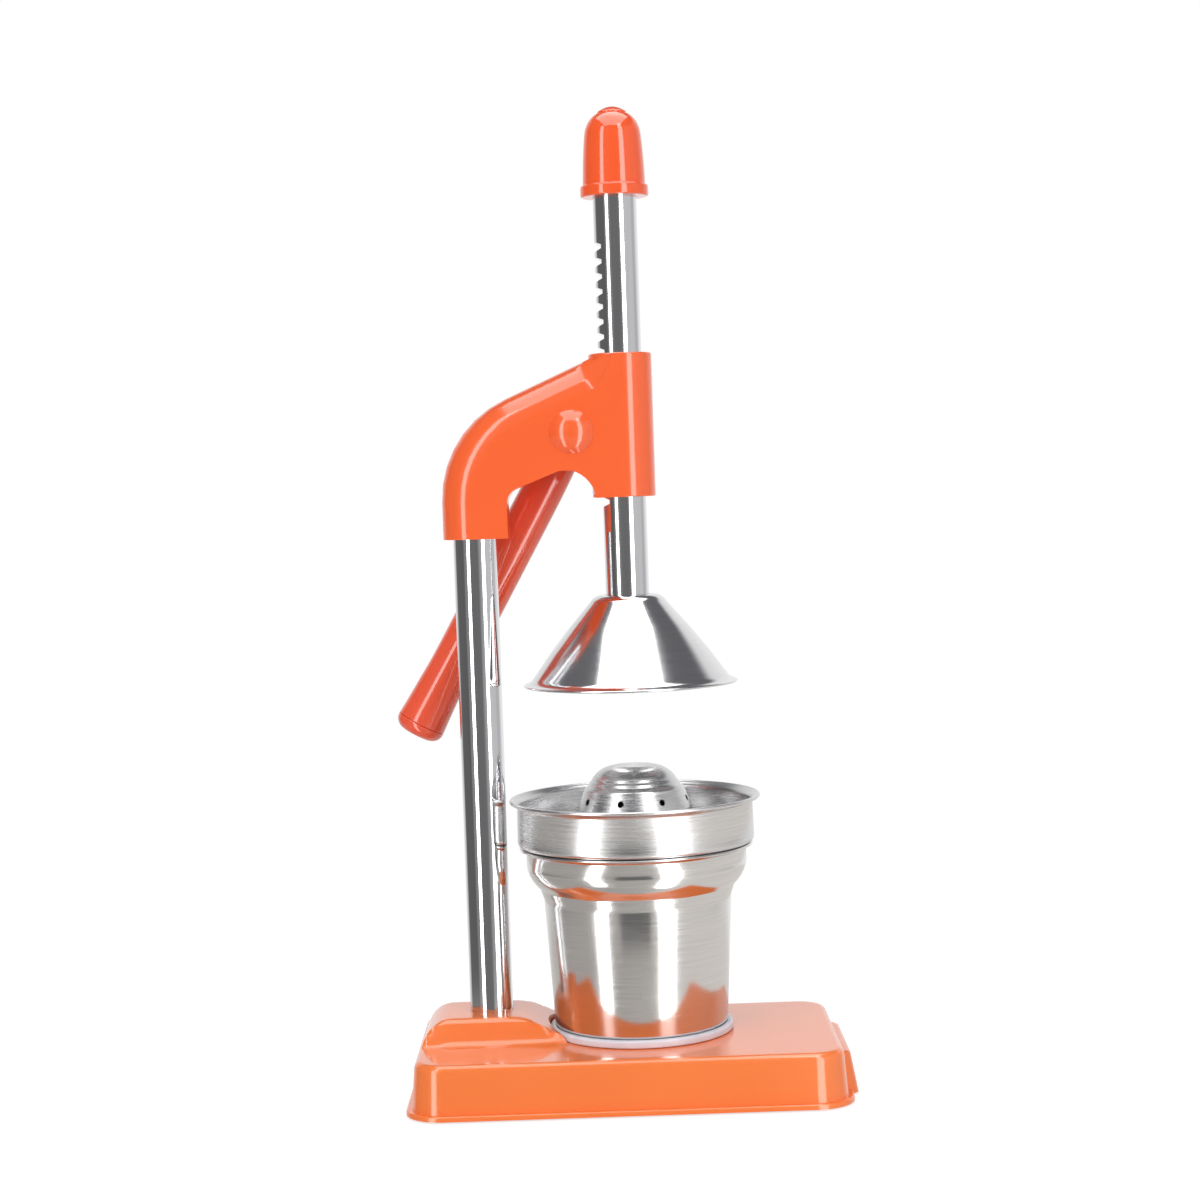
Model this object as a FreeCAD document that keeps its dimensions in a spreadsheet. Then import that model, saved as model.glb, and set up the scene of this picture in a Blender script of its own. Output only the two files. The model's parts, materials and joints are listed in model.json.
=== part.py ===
import FreeCAD, Part
import math
import operator
import os
import Sketcher

# Lever citrus juice press, in millimetres.
# The origin is the middle of the whole press on the surface it stands on.
# +X runs from the column to the pressing axis, +Y to the back, +Z up.

SIZES = (
    # Base casting
    ("base_length", 190.0),
    ("base_depth", 114.0),
    ("base_corner", 17.0),
    ("base_y", -2.0),
    ("base_rise", 0.8),
    ("flange_width", 2.2),
    ("flange_thick", 2.2),
    ("flange_round", 0.92),
    ("wall_lean", 2.0),
    ("base_wall", 3.0),
    ("deck_z", 23.4),
    ("deck_round", 3.0),
    ("hump_z", 37.2),
    ("hump_edge", 1.4),
    ("hump_left_run", 18.6),
    ("hump_left_round", 18.5),
    ("hump_half_width", 30.0),
    ("hump_side_run", 6.5),
    ("hump_side_round", 8.3),
    ("hump_shoulder", 7.0),
    ("hump_shoulder_drop", 3.7),
    ("hump_fall_round", 31.4),
    ("hump_fall_run", 15.0),
    ("hump_fall_drop", 3.8),
    ("hump_slope", 28.5),
    ("seat_clearance", 2.1),
    ("lug_half_width", 33.0),
    ("lug_z", 18.4),
    ("lug_reach", 3.0),
    ("lug_lean", 3.0),
    ("lug_corner", 6.0),
    ("lug_round", 1.5),
    # Feet
    ("foot_inset", 15.0),
    ("foot_radius", 6.5),
    ("foot_height", 2.6),
    ("foot_stem_radius", 3.25),
    ("foot_stem_length", 3.9),
    ("post_wall", 1.2),
    # Column and its fixing
    ("column_inset", 35.5),
    ("column_gap", 66.0),
    ("column_radius", 9.5),
    ("column_wall", 1.5),
    ("column_foot_z", 12.0),
    ("socket_floor", 3.5),
    ("socket_wall", 4.2),
    ("socket_room", 9.2),
    ("column_grip", 28.0),
    ("insert_length", 18.0),
    ("column_bolt_radius", 4.0),
    ("column_bolt_head_radius", 6.6),
    ("column_bolt_head", 4.8),
    ("column_washer_radius", 9.0),
    ("column_washer_thick", 1.4),
    # Pressing axis
    ("press_y", 4.0),
    # Arm
    ("sleeve_radius", 13.75),
    ("column_sleeve_z", 242.0),
    ("arm_bend_z", 258.3),
    ("arm_bend_radius", 34.25),
    ("arm_slope", 23.5),
    ("guide_bottom_z", 258.2),
    ("guide_top_z", 320.6),
    ("guide_lip", 2.0),
    ("window_left", 15.0),
    ("window_round", 7.0),
    ("window_corner_z", 261.6),
    ("window_peak_z", 270.4),
    ("window_slant_end", 28.0),
    ("window_peak_end", 22.8),
    ("window_right", 12.3),
    ("scallop_radius", 14.5),
    ("sleeve_edge", 0.8),
    ("lock_screw_radius", 3.0),
    ("lock_screw_z", 253.0),
    ("lock_key_depth", 2.1),
    # Guide bushes
    ("guide_bush_wall", 1.95),
    ("upper_bush_length", 12.0),
    ("lower_bush_length", 9.5),
    ("bush_recess", 0.8),
    # Rack and pinion
    ("pivot_gap", 22.1),
    ("pivot_z", 287.0),
    ("gap_pitch", 6.5),
    ("rack_top_drop", 21.6),
    ("rack_bottom_rise", 40.0),
    ("gap_depth", 2.9),
    ("flank_lean", 25.0),
    ("backlash", 0.15),
    ("pinion_teeth", 13),
    ("pinion_tooth_rise", 1.65),
    ("pinion_tooth_root", 1.3),
    ("pinion_tooth_spread", 0.23),
    ("pinion_flank_lean", 29.0),
    ("pinion_width", 12.0),
    ("chamber_clearance", 0.35),
    ("chamber_side_gap", 0.5),
    # Shaft and its bearings
    ("shaft_radius", 5.0),
    ("shaft_square", 7.0),
    ("bearing_wall", 2.5),
    ("front_bearing_length", 6.0),
    ("rear_bearing_length", 6.2),
    ("gear_cover_thick", 5.4),
    ("dome_base", 9.5),
    ("dome_rise", 4.67),
    # Lever
    ("lever_angle", 29.5),
    ("lever_y", 25.5),
    ("hub_radius", 12.0),
    ("hub_front_gap", 1.0),
    ("hub_rear_y", 34.6),
    ("grip_neck_radius", 8.5),
    ("grip_radius", 9.4),
    ("grip_end_radius", 11.1),
    ("grip_start", 6.0),
    ("grip_neck_end", 38.0),
    ("grip_flare_length", 36.3),
    ("lever_length", 152.0),
    ("end_cap_length", 5.7),
    ("end_cap_corner", 5.5),
    ("end_plug_radius", 5.0),
    ("end_plug_length", 9.0),
    ("lever_screw_radius", 2.5),
    ("lever_screw_head_radius", 4.4),
    ("lever_screw_head", 2.8),
    ("lever_screw_sink", 0.6),
    ("lever_screw_depth", 12.0),
    ("lever_washer_radius", 5.6),
    ("lever_washer_thick", 1.0),
    ("hub_web", 2.0),
    ("hub_round", 1.8),
    # Plunger
    ("rod_radius", 9.5),
    ("rod_bottom_z", 215.5),
    ("overall_height", 427.5),
    ("cap_height", 36.0),
    ("cap_socket_depth", 20.0),
    ("cap_flange_radius", 14.8),
    ("cap_flange_thick", 5.0),
    ("cap_flange_round", 0.9),
    ("cap_foot_radius", 13.6),
    ("cap_shoulder_radius", 12.5),
    ("cap_shoulder_drop", 11.3),
    ("cap_crown_round", 13.0),
    ("button_radius", 6.45),
    ("button_rise", 3.2),
    ("button_stem_wall", 0.6),
    ("button_stem_length", 3.0),
    ("cap_web", 3.0),
    ("cap_screw_radius", 3.0),
    ("cap_screw_head_radius", 5.0),
    ("cap_screw_head", 3.2),
    ("cap_screw_length", 16.0),
    # Presser cone
    ("cone_sheet", 1.0),
    ("cone_side_sheet", 0.8),
    ("cone_neck_radius", 12.0),
    ("cone_shoulder_radius", 16.9),
    ("cone_shoulder_drop", 3.4),
    ("cone_shoulder_round", 6.5),
    ("cone_flank_radius", 42.9),
    ("cone_flank_drop", 36.2),
    ("cone_flank_round", 300.0),
    ("cone_lip_radius", 46.9),
    ("cone_lip_drop", 38.3),
    ("cone_lip_round", 6.0),
    ("cone_screw_radius", 4.0),
    ("cone_screw_head_radius", 6.5),
    ("cone_screw_head", 4.0),
    ("cone_screw_length", 16.0),
    ("cone_washer_radius", 8.5),
    ("cone_washer_thick", 1.5),
    # Cup
    ("rest_gap", 0.1),
    ("cup_sheet", 0.8),
    ("foot_ring_radius", 40.4),
    ("foot_ring_height", 3.4),
    ("foot_ring_floor", 2.2),
    ("foot_ring_wall", 1.8),
    ("foot_ring_hole", 26.0),
    ("foot_ring_round", 1.2),
    ("cup_floor_radius", 35.6),
    ("cup_base_radius", 38.1),
    ("cup_base_rise", 2.4),
    ("cup_base_round", 3.1),
    ("cup_waist_radius", 41.2),
    ("cup_waist_z", 82.6),
    ("cup_shoulder_radius", 42.6),
    ("cup_shoulder_z", 87.6),
    ("cup_shoulder_round", 16.0),
    ("cup_neck_radius", 48.3),
    ("cup_neck_z", 96.8),
    ("cup_neck_top_z", 103.7),
    ("cup_rim_radius", 51.3),
    ("cup_rim_z", 105.9),
    ("cup_rim_thick", 2.0),
    ("cup_rim_round", 3.2),
    # Strainer bowl
    ("bowl_sheet", 0.8),
    ("bowl_step_clearance", 0.6),
    ("bowl_step_drop", 3.0),
    ("bowl_foot_radius", 49.6),
    ("bowl_foot_rise", 2.4),
    ("bowl_foot_round", 2.5),
    ("bowl_wall_foot_radius", 52.0),
    ("bowl_wall_radius", 51.7),
    ("bowl_wall_z", 123.6),
    ("bowl_flare_radius", 54.6),
    ("bowl_rim_radius", 55.05),
    ("bowl_rim_z", 126.9),
    ("bowl_flare_round", 4.0),
    ("bowl_drain_radius", 1.6),
    ("bowl_drain_circle", 38.5),
    ("bowl_drain_count", 24),
    ("bowl_mouth_radius", 22.0),
    # Reamer
    ("reamer_sheet", 0.8),
    ("reamer_flange_radius", 32.0),
    ("reamer_foot_radius", 28.0),
    ("reamer_skirt_radius", 25.4),
    ("reamer_skirt_z", 121.5),
    ("reamer_ring_radius", 22.4),
    ("reamer_ring_z", 129.0),
    ("reamer_step_radius", 21.3),
    ("reamer_step_z", 131.2),
    ("reamer_upper_radius", 18.9),
    ("reamer_upper_z", 133.7),
    ("reamer_crown_radius", 17.9),
    ("reamer_crown_z", 135.3),
    ("reamer_top_radius", 9.6),
    ("reamer_top_z", 140.4),
    ("reamer_crown_round", 12.0),
    ("reamer_hole_radius", 1.4),
    ("reamer_hole_z", 126.0),
    ("reamer_hole_count", 8),
    # Fits and finish
    ("crown_flat", 0.6),
    ("running_gap", 0.05),
    ("press_gap", 0.02),
    ("screw_gap", 0.1),
    ("loose_gap", 0.2),
    ("screw_end_gap", 3.2),
    ("cut_overrun", 1.0),
)

OPERATIONS = {"+": operator.add, "-": operator.sub, "*": operator.mul, "/": operator.truediv}


class Size:
    """A number and the spreadsheet formula that gives it."""

    def __init__(self, number, formula):
        self.number = float(number)
        self.formula = formula

    def joined(self, sign, other):
        other = as_size(other)
        number = OPERATIONS[sign](self.number, other.number)
        return Size(number, "(%s %s %s)" % (self.formula, sign, other.formula))

    def __add__(self, other):
        return self.joined("+", other)

    def __sub__(self, other):
        return self.joined("-", other)

    def __mul__(self, other):
        return self.joined("*", other)

    def __truediv__(self, other):
        return self.joined("/", other)

    def __neg__(self):
        return Size(-self.number, "(0 - %s)" % self.formula)


def as_size(value):
    return value if isinstance(value, Size) else Size(value, repr(float(value)))


def sine(angle):
    return Size(math.sin(math.radians(angle.number)), "sin(%s * 1 deg)" % angle.formula)


def cosine(angle):
    return Size(math.cos(math.radians(angle.number)), "cos(%s * 1 deg)" % angle.formula)


def tangent(angle):
    return Size(math.tan(math.radians(angle.number)), "tan(%s * 1 deg)" % angle.formula)


def whole(value):
    return Size(math.floor(value.number), "floor(%s)" % value.formula)


class Sheet:
    """The named sizes, each an attribute that carries its formula."""

    def __init__(self, document):
        page = document.addObject("Spreadsheet::Sheet", "Sizes")
        for row, (name, number) in enumerate(SIZES, start=1):
            cell = "B%d" % row
            page.set("A%d" % row, name)
            page.set(cell, str(number))
            page.setAlias(cell, name)
            setattr(self, name, Size(number, "Sizes.%s" % name))


doc = FreeCAD.newDocument("citrus_press")
size = Sheet(doc)
doc.recompute()

PARTS = []

# Places and sizes that several pieces share
rest_plane = as_size(0)
column_x = size.column_inset - size.base_length / 2
press_x = column_x + size.column_gap
seat_y = size.press_y - size.base_y
pivot_x = press_x - size.pivot_gap
pitch_radius = size.gap_pitch * size.pinion_teeth / (2 * math.pi)
pinion_radius = pitch_radius + size.pinion_tooth_rise
chamber_radius = pinion_radius + size.chamber_clearance
chamber_half = size.pinion_width / 2 + size.chamber_side_gap
guide_bore = size.rod_radius + size.running_gap + size.guide_bush_wall
bearing_radius = size.shaft_radius + size.running_gap + size.bearing_wall
gear_cover_front = size.sleeve_radius - size.gear_cover_thick
column_bore = size.column_radius + size.running_gap
wall_x = size.base_length / 2 - size.flange_width
wall_y = size.base_depth / 2 - size.flange_width
deck_x = wall_x - size.wall_lean
deck_y = wall_y - size.wall_lean
foot_x = size.base_length / 2 - size.foot_inset
foot_y = size.base_depth / 2 - size.foot_inset
cup_floor_z = size.deck_z + size.rest_gap + size.foot_ring_floor
bowl_foot_z = size.cup_rim_z + size.rest_gap
button_z = size.overall_height - size.button_rise
cap_bottom_z = button_z - size.cap_height
first_gap_z = cap_bottom_z - size.rack_top_drop
grip_end = size.lever_length - size.end_cap_length
flare_start = grip_end - size.grip_flare_length


def bind(thing, path, value):
    thing.setExpression(path, as_size(value).formula)


def place(thing, x=0, y=0, z=0, turn=None):
    """Puts a sub-part at a point, turned by an angle about +Y."""
    spot = [as_size(value) for value in (x, y, z)]
    angle = as_size(turn or 0)
    spin = FreeCAD.Rotation(FreeCAD.Vector(0, 1, 0), angle.number)
    thing.Placement = FreeCAD.Placement(FreeCAD.Vector(*[value.number for value in spot]), spin)
    for axis, value in zip("xyz", spot):
        bind(thing, "Placement.Base.%s" % axis, value)
    if turn is not None:
        bind(thing, "Placement.Rotation.Angle", angle)


def new_body(label, x=0, y=0, z=0, turn=None):
    body = doc.addObject("PartDesign::Body", label)
    body.Label = label
    place(body, x, y, z, turn)
    PARTS.append(body)
    return body


def plane_of(body, role):
    return [item for item in body.Origin.OriginFeatures if item.Role == role][0]


def sketch_on(body, role, x=0, y=0, lift=0):
    """A sketch on an origin plane of the body, its own origin moved by x, y and lift."""
    sketch = body.newObject("Sketcher::SketchObject", "Sketch")
    sketch.AttachmentSupport = [(plane_of(body, role), "")]
    sketch.MapMode = "FlatFace"
    for axis, value in zip("xyz", (x, y, lift)):
        bind(sketch, "AttachmentOffset.Base.%s" % axis, value)
    return sketch


def set_place(sketch, geometry, point, axis, value):
    """Ties one coordinate of a sketch point to a size."""
    kind = "DistanceX" if axis == "x" else "DistanceY"
    index = sketch.addConstraint(Sketcher.Constraint(kind, -1, 1, geometry, point, value.number))
    bind(sketch, "Constraints[%d]" % index, value)


def arc_between(start, end, radius, turn):
    """The arc from start to end: turn 1 runs anticlockwise, -1 clockwise."""
    chord = end - start
    middle = (start + end) * 0.5
    reach = math.sqrt(max(radius ** 2 - (chord.Length / 2) ** 2, 0.0))
    side = FreeCAD.Vector(-chord.y, chord.x, 0).normalize() * reach * turn
    centre = middle + side
    first, last = (start, end) if turn > 0 else (end, start)
    begin = math.atan2(first.y - centre.y, first.x - centre.x)
    finish = math.atan2(last.y - centre.y, last.x - centre.x)
    if finish < begin:
        finish += 2 * math.pi
    return Part.ArcOfCircle(Part.Circle(centre, FreeCAD.Vector(0, 0, 1), radius), begin, finish)


def outline(sketch, *corners, closed=True):
    """Draws a chain of corners (x, y).

    A corner (x, y, radius, turn) is reached from the one before it along an arc.
    """
    points = [(as_size(corner[0]), as_size(corner[1])) for corner in corners]
    spots = [FreeCAD.Vector(x.number, y.number, 0) for x, y in points]
    count = len(corners)
    ends = []
    for index in range(count if closed else count - 1):
        following = (index + 1) % count
        corner = corners[following]
        if len(corner) == 4:
            radius = as_size(corner[2])
            arc = arc_between(spots[index], spots[following], radius.number, corner[3])
            geometry = sketch.addGeometry(arc, False)
            limit = sketch.addConstraint(Sketcher.Constraint("Radius", geometry, radius.number))
            bind(sketch, "Constraints[%d]" % limit, radius)
            ends.append((geometry, 1, 2) if corner[3] > 0 else (geometry, 2, 1))
        else:
            line = Part.LineSegment(spots[index], spots[following])
            ends.append((sketch.addGeometry(line, False), 1, 2))
    for index, (geometry, first, last) in enumerate(ends):
        set_place(sketch, geometry, first, "x", points[index][0])
        set_place(sketch, geometry, first, "y", points[index][1])
        if index + 1 < len(ends) or closed:
            after = ends[(index + 1) % len(ends)]
            sketch.addConstraint(Sketcher.Constraint("Coincident", geometry, last, after[0], after[1]))
    if not closed:
        geometry, first, last = ends[-1]
        set_place(sketch, geometry, last, "x", points[-1][0])
        set_place(sketch, geometry, last, "y", points[-1][1])
    return sketch


def circle(sketch, radius, x=0, y=0):
    radius, x, y = as_size(radius), as_size(x), as_size(y)
    centre = FreeCAD.Vector(x.number, y.number, 0)
    ring = Part.Circle(centre, FreeCAD.Vector(0, 0, 1), radius.number)
    geometry = sketch.addGeometry(ring, False)
    limit = sketch.addConstraint(Sketcher.Constraint("Radius", geometry, radius.number))
    bind(sketch, "Constraints[%d]" % limit, radius)
    set_place(sketch, geometry, 3, "x", x)
    set_place(sketch, geometry, 3, "y", y)
    return sketch


def rectangle(sketch, left, right, bottom, top):
    return outline(sketch, (left, bottom), (right, bottom), (right, top), (left, top))


def rounded_rectangle(sketch, half_x, half_y, corner):
    inner_x, inner_y = half_x - corner, half_y - corner
    return outline(
        sketch,
        (-inner_x, -half_y, corner, 1),
        (inner_x, -half_y),
        (half_x, -inner_y, corner, 1),
        (half_x, inner_y),
        (inner_x, half_y, corner, 1),
        (-inner_x, half_y),
        (-half_x, inner_y, corner, 1),
        (-half_x, -inner_y),
    )


def bulge(run, rise):
    """The radius of an arc that starts level and climbs by a rise over a run."""
    return (run * run + rise * rise) / (rise * 2)


def polygon(sketch, sides, across_flats):
    """A regular polygon with a flat side towards +X."""
    radius = across_flats / (2 * math.cos(math.pi / sides))
    angles = [math.pi * (2 * index + 1) / sides for index in range(sides)]
    return outline(sketch, *((radius * math.cos(angle), radius * math.sin(angle)) for angle in angles))


def extrude(body, sketch, length, along=True, cut=False):
    """A pad or pocket on the side of the sketch that its normal points to, or the other."""
    solid = body.newObject("PartDesign::Pocket" if cut else "PartDesign::Pad", "Extrusion")
    solid.Profile = (sketch, [""])
    solid.Reversed = along == cut
    bind(solid, "Length", length)
    return solid


def revolve(body, sketch, cut=False):
    """A full turn of the sketch about its own vertical axis."""
    solid = body.newObject("PartDesign::Groove" if cut else "PartDesign::Revolution", "Turning")
    solid.Profile = (sketch, [""])
    solid.ReferenceAxis = (sketch, ["V_Axis"])
    solid.Angle = 360
    return solid


def loft(body, first, last, cut=False):
    solid = body.newObject("PartDesign::SubtractiveLoft" if cut else "PartDesign::AdditiveLoft", "Loft")
    solid.Profile = (first, [""])
    solid.Sections = [(last, [""])]
    solid.Ruled = True
    return solid


def soften(body, feature, radius, chosen):
    """Rounds the edges of the last feature that the test picks."""
    doc.recompute()
    names = ["Edge%d" % (index + 1) for index, edge in enumerate(feature.Shape.Edges) if chosen(edge)]
    fillet = body.newObject("PartDesign::Fillet", "Rounding")
    fillet.Base = (feature, names)
    bind(fillet, "Radius", radius)
    return fillet


def at_height(height):
    """True for an edge that lies wholly at a height."""
    def test(edge):
        box = edge.BoundBox
        return abs(box.ZMin - height.number) < 1e-4 and abs(box.ZMax - height.number) < 1e-4
    return test


def repeat_round(body, feature, role, count):
    pattern = body.newObject("PartDesign::PolarPattern", "Ring")
    pattern.Originals = [feature]
    pattern.Axis = (plane_of(body, role), [""])
    pattern.Angle = 360
    bind(pattern, "Occurrences", count)
    body.Tip = pattern
    return pattern


def turned(label, corners, spot, role="XZ_Plane"):
    """A turned piece: its half section spun about +Z, or about +Y on the XY plane."""
    body = new_body(label, *spot)
    revolve(body, outline(sketch_on(body, role), *corners))
    return body


def sleeve(label, inner, outer, low, high, spot, role="XZ_Plane"):
    return turned(label, ((inner, low), (outer, low), (outer, high), (inner, high)), spot, role)


def socket_screw(label, shank, head, head_height, tip, seat, spot, role="XZ_Plane"):
    """A screw whose head stands on the seat, on the side away from its tip."""
    away = 1 if seat.number > tip.number else -1
    crown = seat + head_height * away
    chain = [(0, tip), (shank, tip), (shank, seat), (head, seat), (head, crown), (0, crown)]
    body = turned(label, chain if away > 0 else chain[::-1], spot, role)
    normal = -1 if role == "XY_Plane" else 1
    mouth = "XZ_Plane" if role == "XY_Plane" else "XY_Plane"
    recess = polygon(sketch_on(body, mouth, lift=crown * normal), 6, head)
    extrude(body, recess, head_height / 2, along=(away * normal) < 0, cut=True)
    return body


def base_shell():
    body = new_body("base_shell", y=size.base_y)
    corner = size.base_corner
    wall_corner = corner - size.flange_width
    deck_corner = wall_corner - size.wall_lean
    foot = sketch_on(body, "XY_Plane", lift=size.base_rise)
    rounded_rectangle(foot, size.base_length / 2, size.base_depth / 2, corner)
    flange = extrude(body, foot, size.flange_thick)
    soften(body, flange, size.flange_round, at_height(size.base_rise + size.flange_thick))
    low = sketch_on(body, "XY_Plane", lift=size.base_rise)
    rounded_rectangle(low, wall_x, wall_y, wall_corner)
    high = sketch_on(body, "XY_Plane", lift=size.deck_z)
    rounded_rectangle(high, deck_x, deck_y, deck_corner)
    walls = loft(body, low, high)
    soften(body, walls, size.deck_round, at_height(size.deck_z))
    base_lug(body)
    base_hump(body)
    base_hollow(body, wall_corner, deck_corner)
    base_socket(body)
    base_posts(body)
    return body


def base_lug(body):
    """The raised grip on the right-hand end."""
    half = size.base_corner
    foot_centre = size.base_length / 2 + size.lug_reach - half
    top_centre = foot_centre - size.lug_lean
    low = sketch_on(body, "XY_Plane", x=foot_centre, lift=size.base_rise)
    rounded_rectangle(low, half, size.lug_half_width, size.lug_corner)
    high = sketch_on(body, "XY_Plane", x=top_centre, lift=size.lug_z)
    rounded_rectangle(high, half, size.lug_half_width - size.lug_lean, size.lug_corner)
    lug = loft(body, low, high)
    soften(body, lug, size.lug_round, at_height(size.lug_z))


def base_hump(body):
    """The hill under the column: a long section cut back at its sides and round the cup's seat."""
    start = -deck_x + size.hump_edge
    crest = start + size.hump_left_run
    brow = column_x + size.hump_shoulder
    fall = brow + size.hump_fall_run
    fall_z = size.hump_z - size.hump_fall_drop
    root_z = size.deck_z - size.base_wall / 2
    run_out = (fall_z - root_z) / tangent(size.hump_slope)
    back = seat_y + size.hump_half_width
    side = sketch_on(body, "XZ_Plane", lift=-back)
    outline(
        side,
        (start, root_z),
        (fall + run_out, root_z),
        (fall, fall_z),
        (brow, size.hump_z, size.hump_fall_round, 1),
        (crest, size.hump_z),
        (start, size.deck_z, size.hump_left_round, 1),
    )
    extrude(body, side, size.hump_half_width * 2)
    shoulder_z = size.hump_z - size.hump_shoulder_drop
    beyond = size.base_depth / 2
    above = size.hump_z * 2
    for facing in (1, -1):
        edge = size.hump_half_width * facing
        slope = (size.hump_half_width - size.hump_side_run) * facing
        ledge = (size.hump_half_width - size.hump_side_run - size.hump_shoulder) * facing
        cut = sketch_on(body, "YZ_Plane", x=seat_y, lift=-size.base_length / 2)
        outline(
            cut,
            (edge, size.deck_z),
            (slope, shoulder_z),
            (ledge, size.hump_z, size.hump_side_round, facing),
            (ledge, above),
            (beyond * facing, above),
            (beyond * facing, size.deck_z),
        )
        extrude(body, cut, size.base_length / 2, cut=True)
    seat = sketch_on(body, "XY_Plane", lift=size.deck_z)
    circle(seat, size.foot_ring_radius + size.seat_clearance, press_x, seat_y)
    extrude(body, seat, size.hump_z, cut=True)


def base_hollow(body, wall_corner, deck_corner):
    """The open underside, with the room inside the hill."""
    low = sketch_on(body, "XY_Plane", lift=rest_plane)
    rounded_rectangle(low, wall_x - size.base_wall, wall_y - size.base_wall, wall_corner - size.base_wall)
    high = sketch_on(body, "XY_Plane", lift=size.deck_z - size.base_wall)
    rounded_rectangle(high, deck_x - size.base_wall, deck_y - size.base_wall, deck_corner - size.base_wall)
    loft(body, low, high, cut=True)
    half_x = column_bore + size.socket_room
    half_y = size.hump_half_width - size.hump_side_run - size.base_wall
    room = sketch_on(body, "XY_Plane", lift=size.deck_z - size.base_wall * 2)
    rectangle(room, column_x - half_x, column_x + half_x, seat_y - half_y, seat_y + half_y)
    extrude(body, room, size.hump_z - size.deck_z, cut=True)


def base_socket(body):
    """The socket that the column stands in, with the bolt hole in its floor."""
    floor = size.column_foot_z - size.socket_floor
    boss = circle(sketch_on(body, "XY_Plane", lift=floor), column_bore + size.socket_wall, column_x, seat_y)
    extrude(body, boss, size.hump_z - size.base_wall / 2 - floor)
    bore = circle(sketch_on(body, "XY_Plane", lift=size.column_foot_z), column_bore, column_x, seat_y)
    extrude(body, bore, size.hump_z, cut=True)
    hole = sketch_on(body, "XY_Plane", lift=floor - size.cut_overrun)
    circle(hole, size.column_bolt_radius + size.running_gap, column_x, seat_y)
    extrude(body, hole, size.socket_floor + size.cut_overrun * 2, cut=True)


def base_posts(body):
    """The four posts that carry the feet."""
    for side_x in (-1, 1):
        for side_y in (-1, 1):
            post = sketch_on(body, "XY_Plane", lift=size.foot_height)
            circle(post, size.foot_radius + size.post_wall, foot_x * side_x, foot_y * side_y)
            extrude(body, post, size.deck_z - size.base_wall / 2 - size.foot_height)
            hole = sketch_on(body, "XY_Plane", lift=size.foot_height)
            circle(hole, size.foot_stem_radius + size.press_gap, foot_x * side_x, foot_y * side_y)
            extrude(body, hole, size.foot_stem_length + size.cut_overrun, cut=True)


def foot_pads():
    """Four rubber feet, each a pad with a stem pushed into its post."""
    feet = []
    for side_x in (-1, 1):
        for side_y in (-1, 1):
            pad = doc.addObject("Part::Cylinder", "Pad")
            stem = doc.addObject("Part::Cylinder", "Stem")
            bind(pad, "Radius", size.foot_radius)
            bind(pad, "Height", size.foot_height)
            bind(stem, "Radius", size.foot_stem_radius)
            bind(stem, "Height", size.foot_height + size.foot_stem_length)
            place(pad, foot_x * side_x, size.base_y + foot_y * side_y)
            place(stem, foot_x * side_x, size.base_y + foot_y * side_y)
            foot = doc.addObject("Part::Fuse", "Foot")
            foot.Base = pad
            foot.Tool = stem
            feet.append(foot)
    group = doc.addObject("Part::Compound", "foot_pads")
    group.Label = "foot_pads"
    group.Links = feet
    PARTS.append(group)


def column():
    spot = (column_x, size.press_y)
    inner = size.column_radius - size.column_wall
    top = size.column_sleeve_z + size.column_grip
    sleeve("column_tube", inner, size.column_radius, size.column_foot_z, top, spot)
    bolt = size.column_bolt_radius
    low = size.column_foot_z + size.press_gap
    sleeve("column_insert", bolt, inner - size.press_gap, low, low + size.insert_length, spot)
    floor = size.column_foot_z - size.socket_floor
    seat = floor - size.column_washer_thick
    sleeve("column_washer", bolt + size.running_gap, size.column_washer_radius, seat, floor, spot)
    shank = bolt - size.press_gap
    tip = low + size.insert_length
    body = turned("column_bolt", ((0, seat), (shank, seat), (shank, tip), (0, tip)), spot)
    head = polygon(sketch_on(body, "XY_Plane", lift=seat), 6, size.column_bolt_head_radius * 2)
    extrude(body, head, size.column_bolt_head, along=False)


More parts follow.
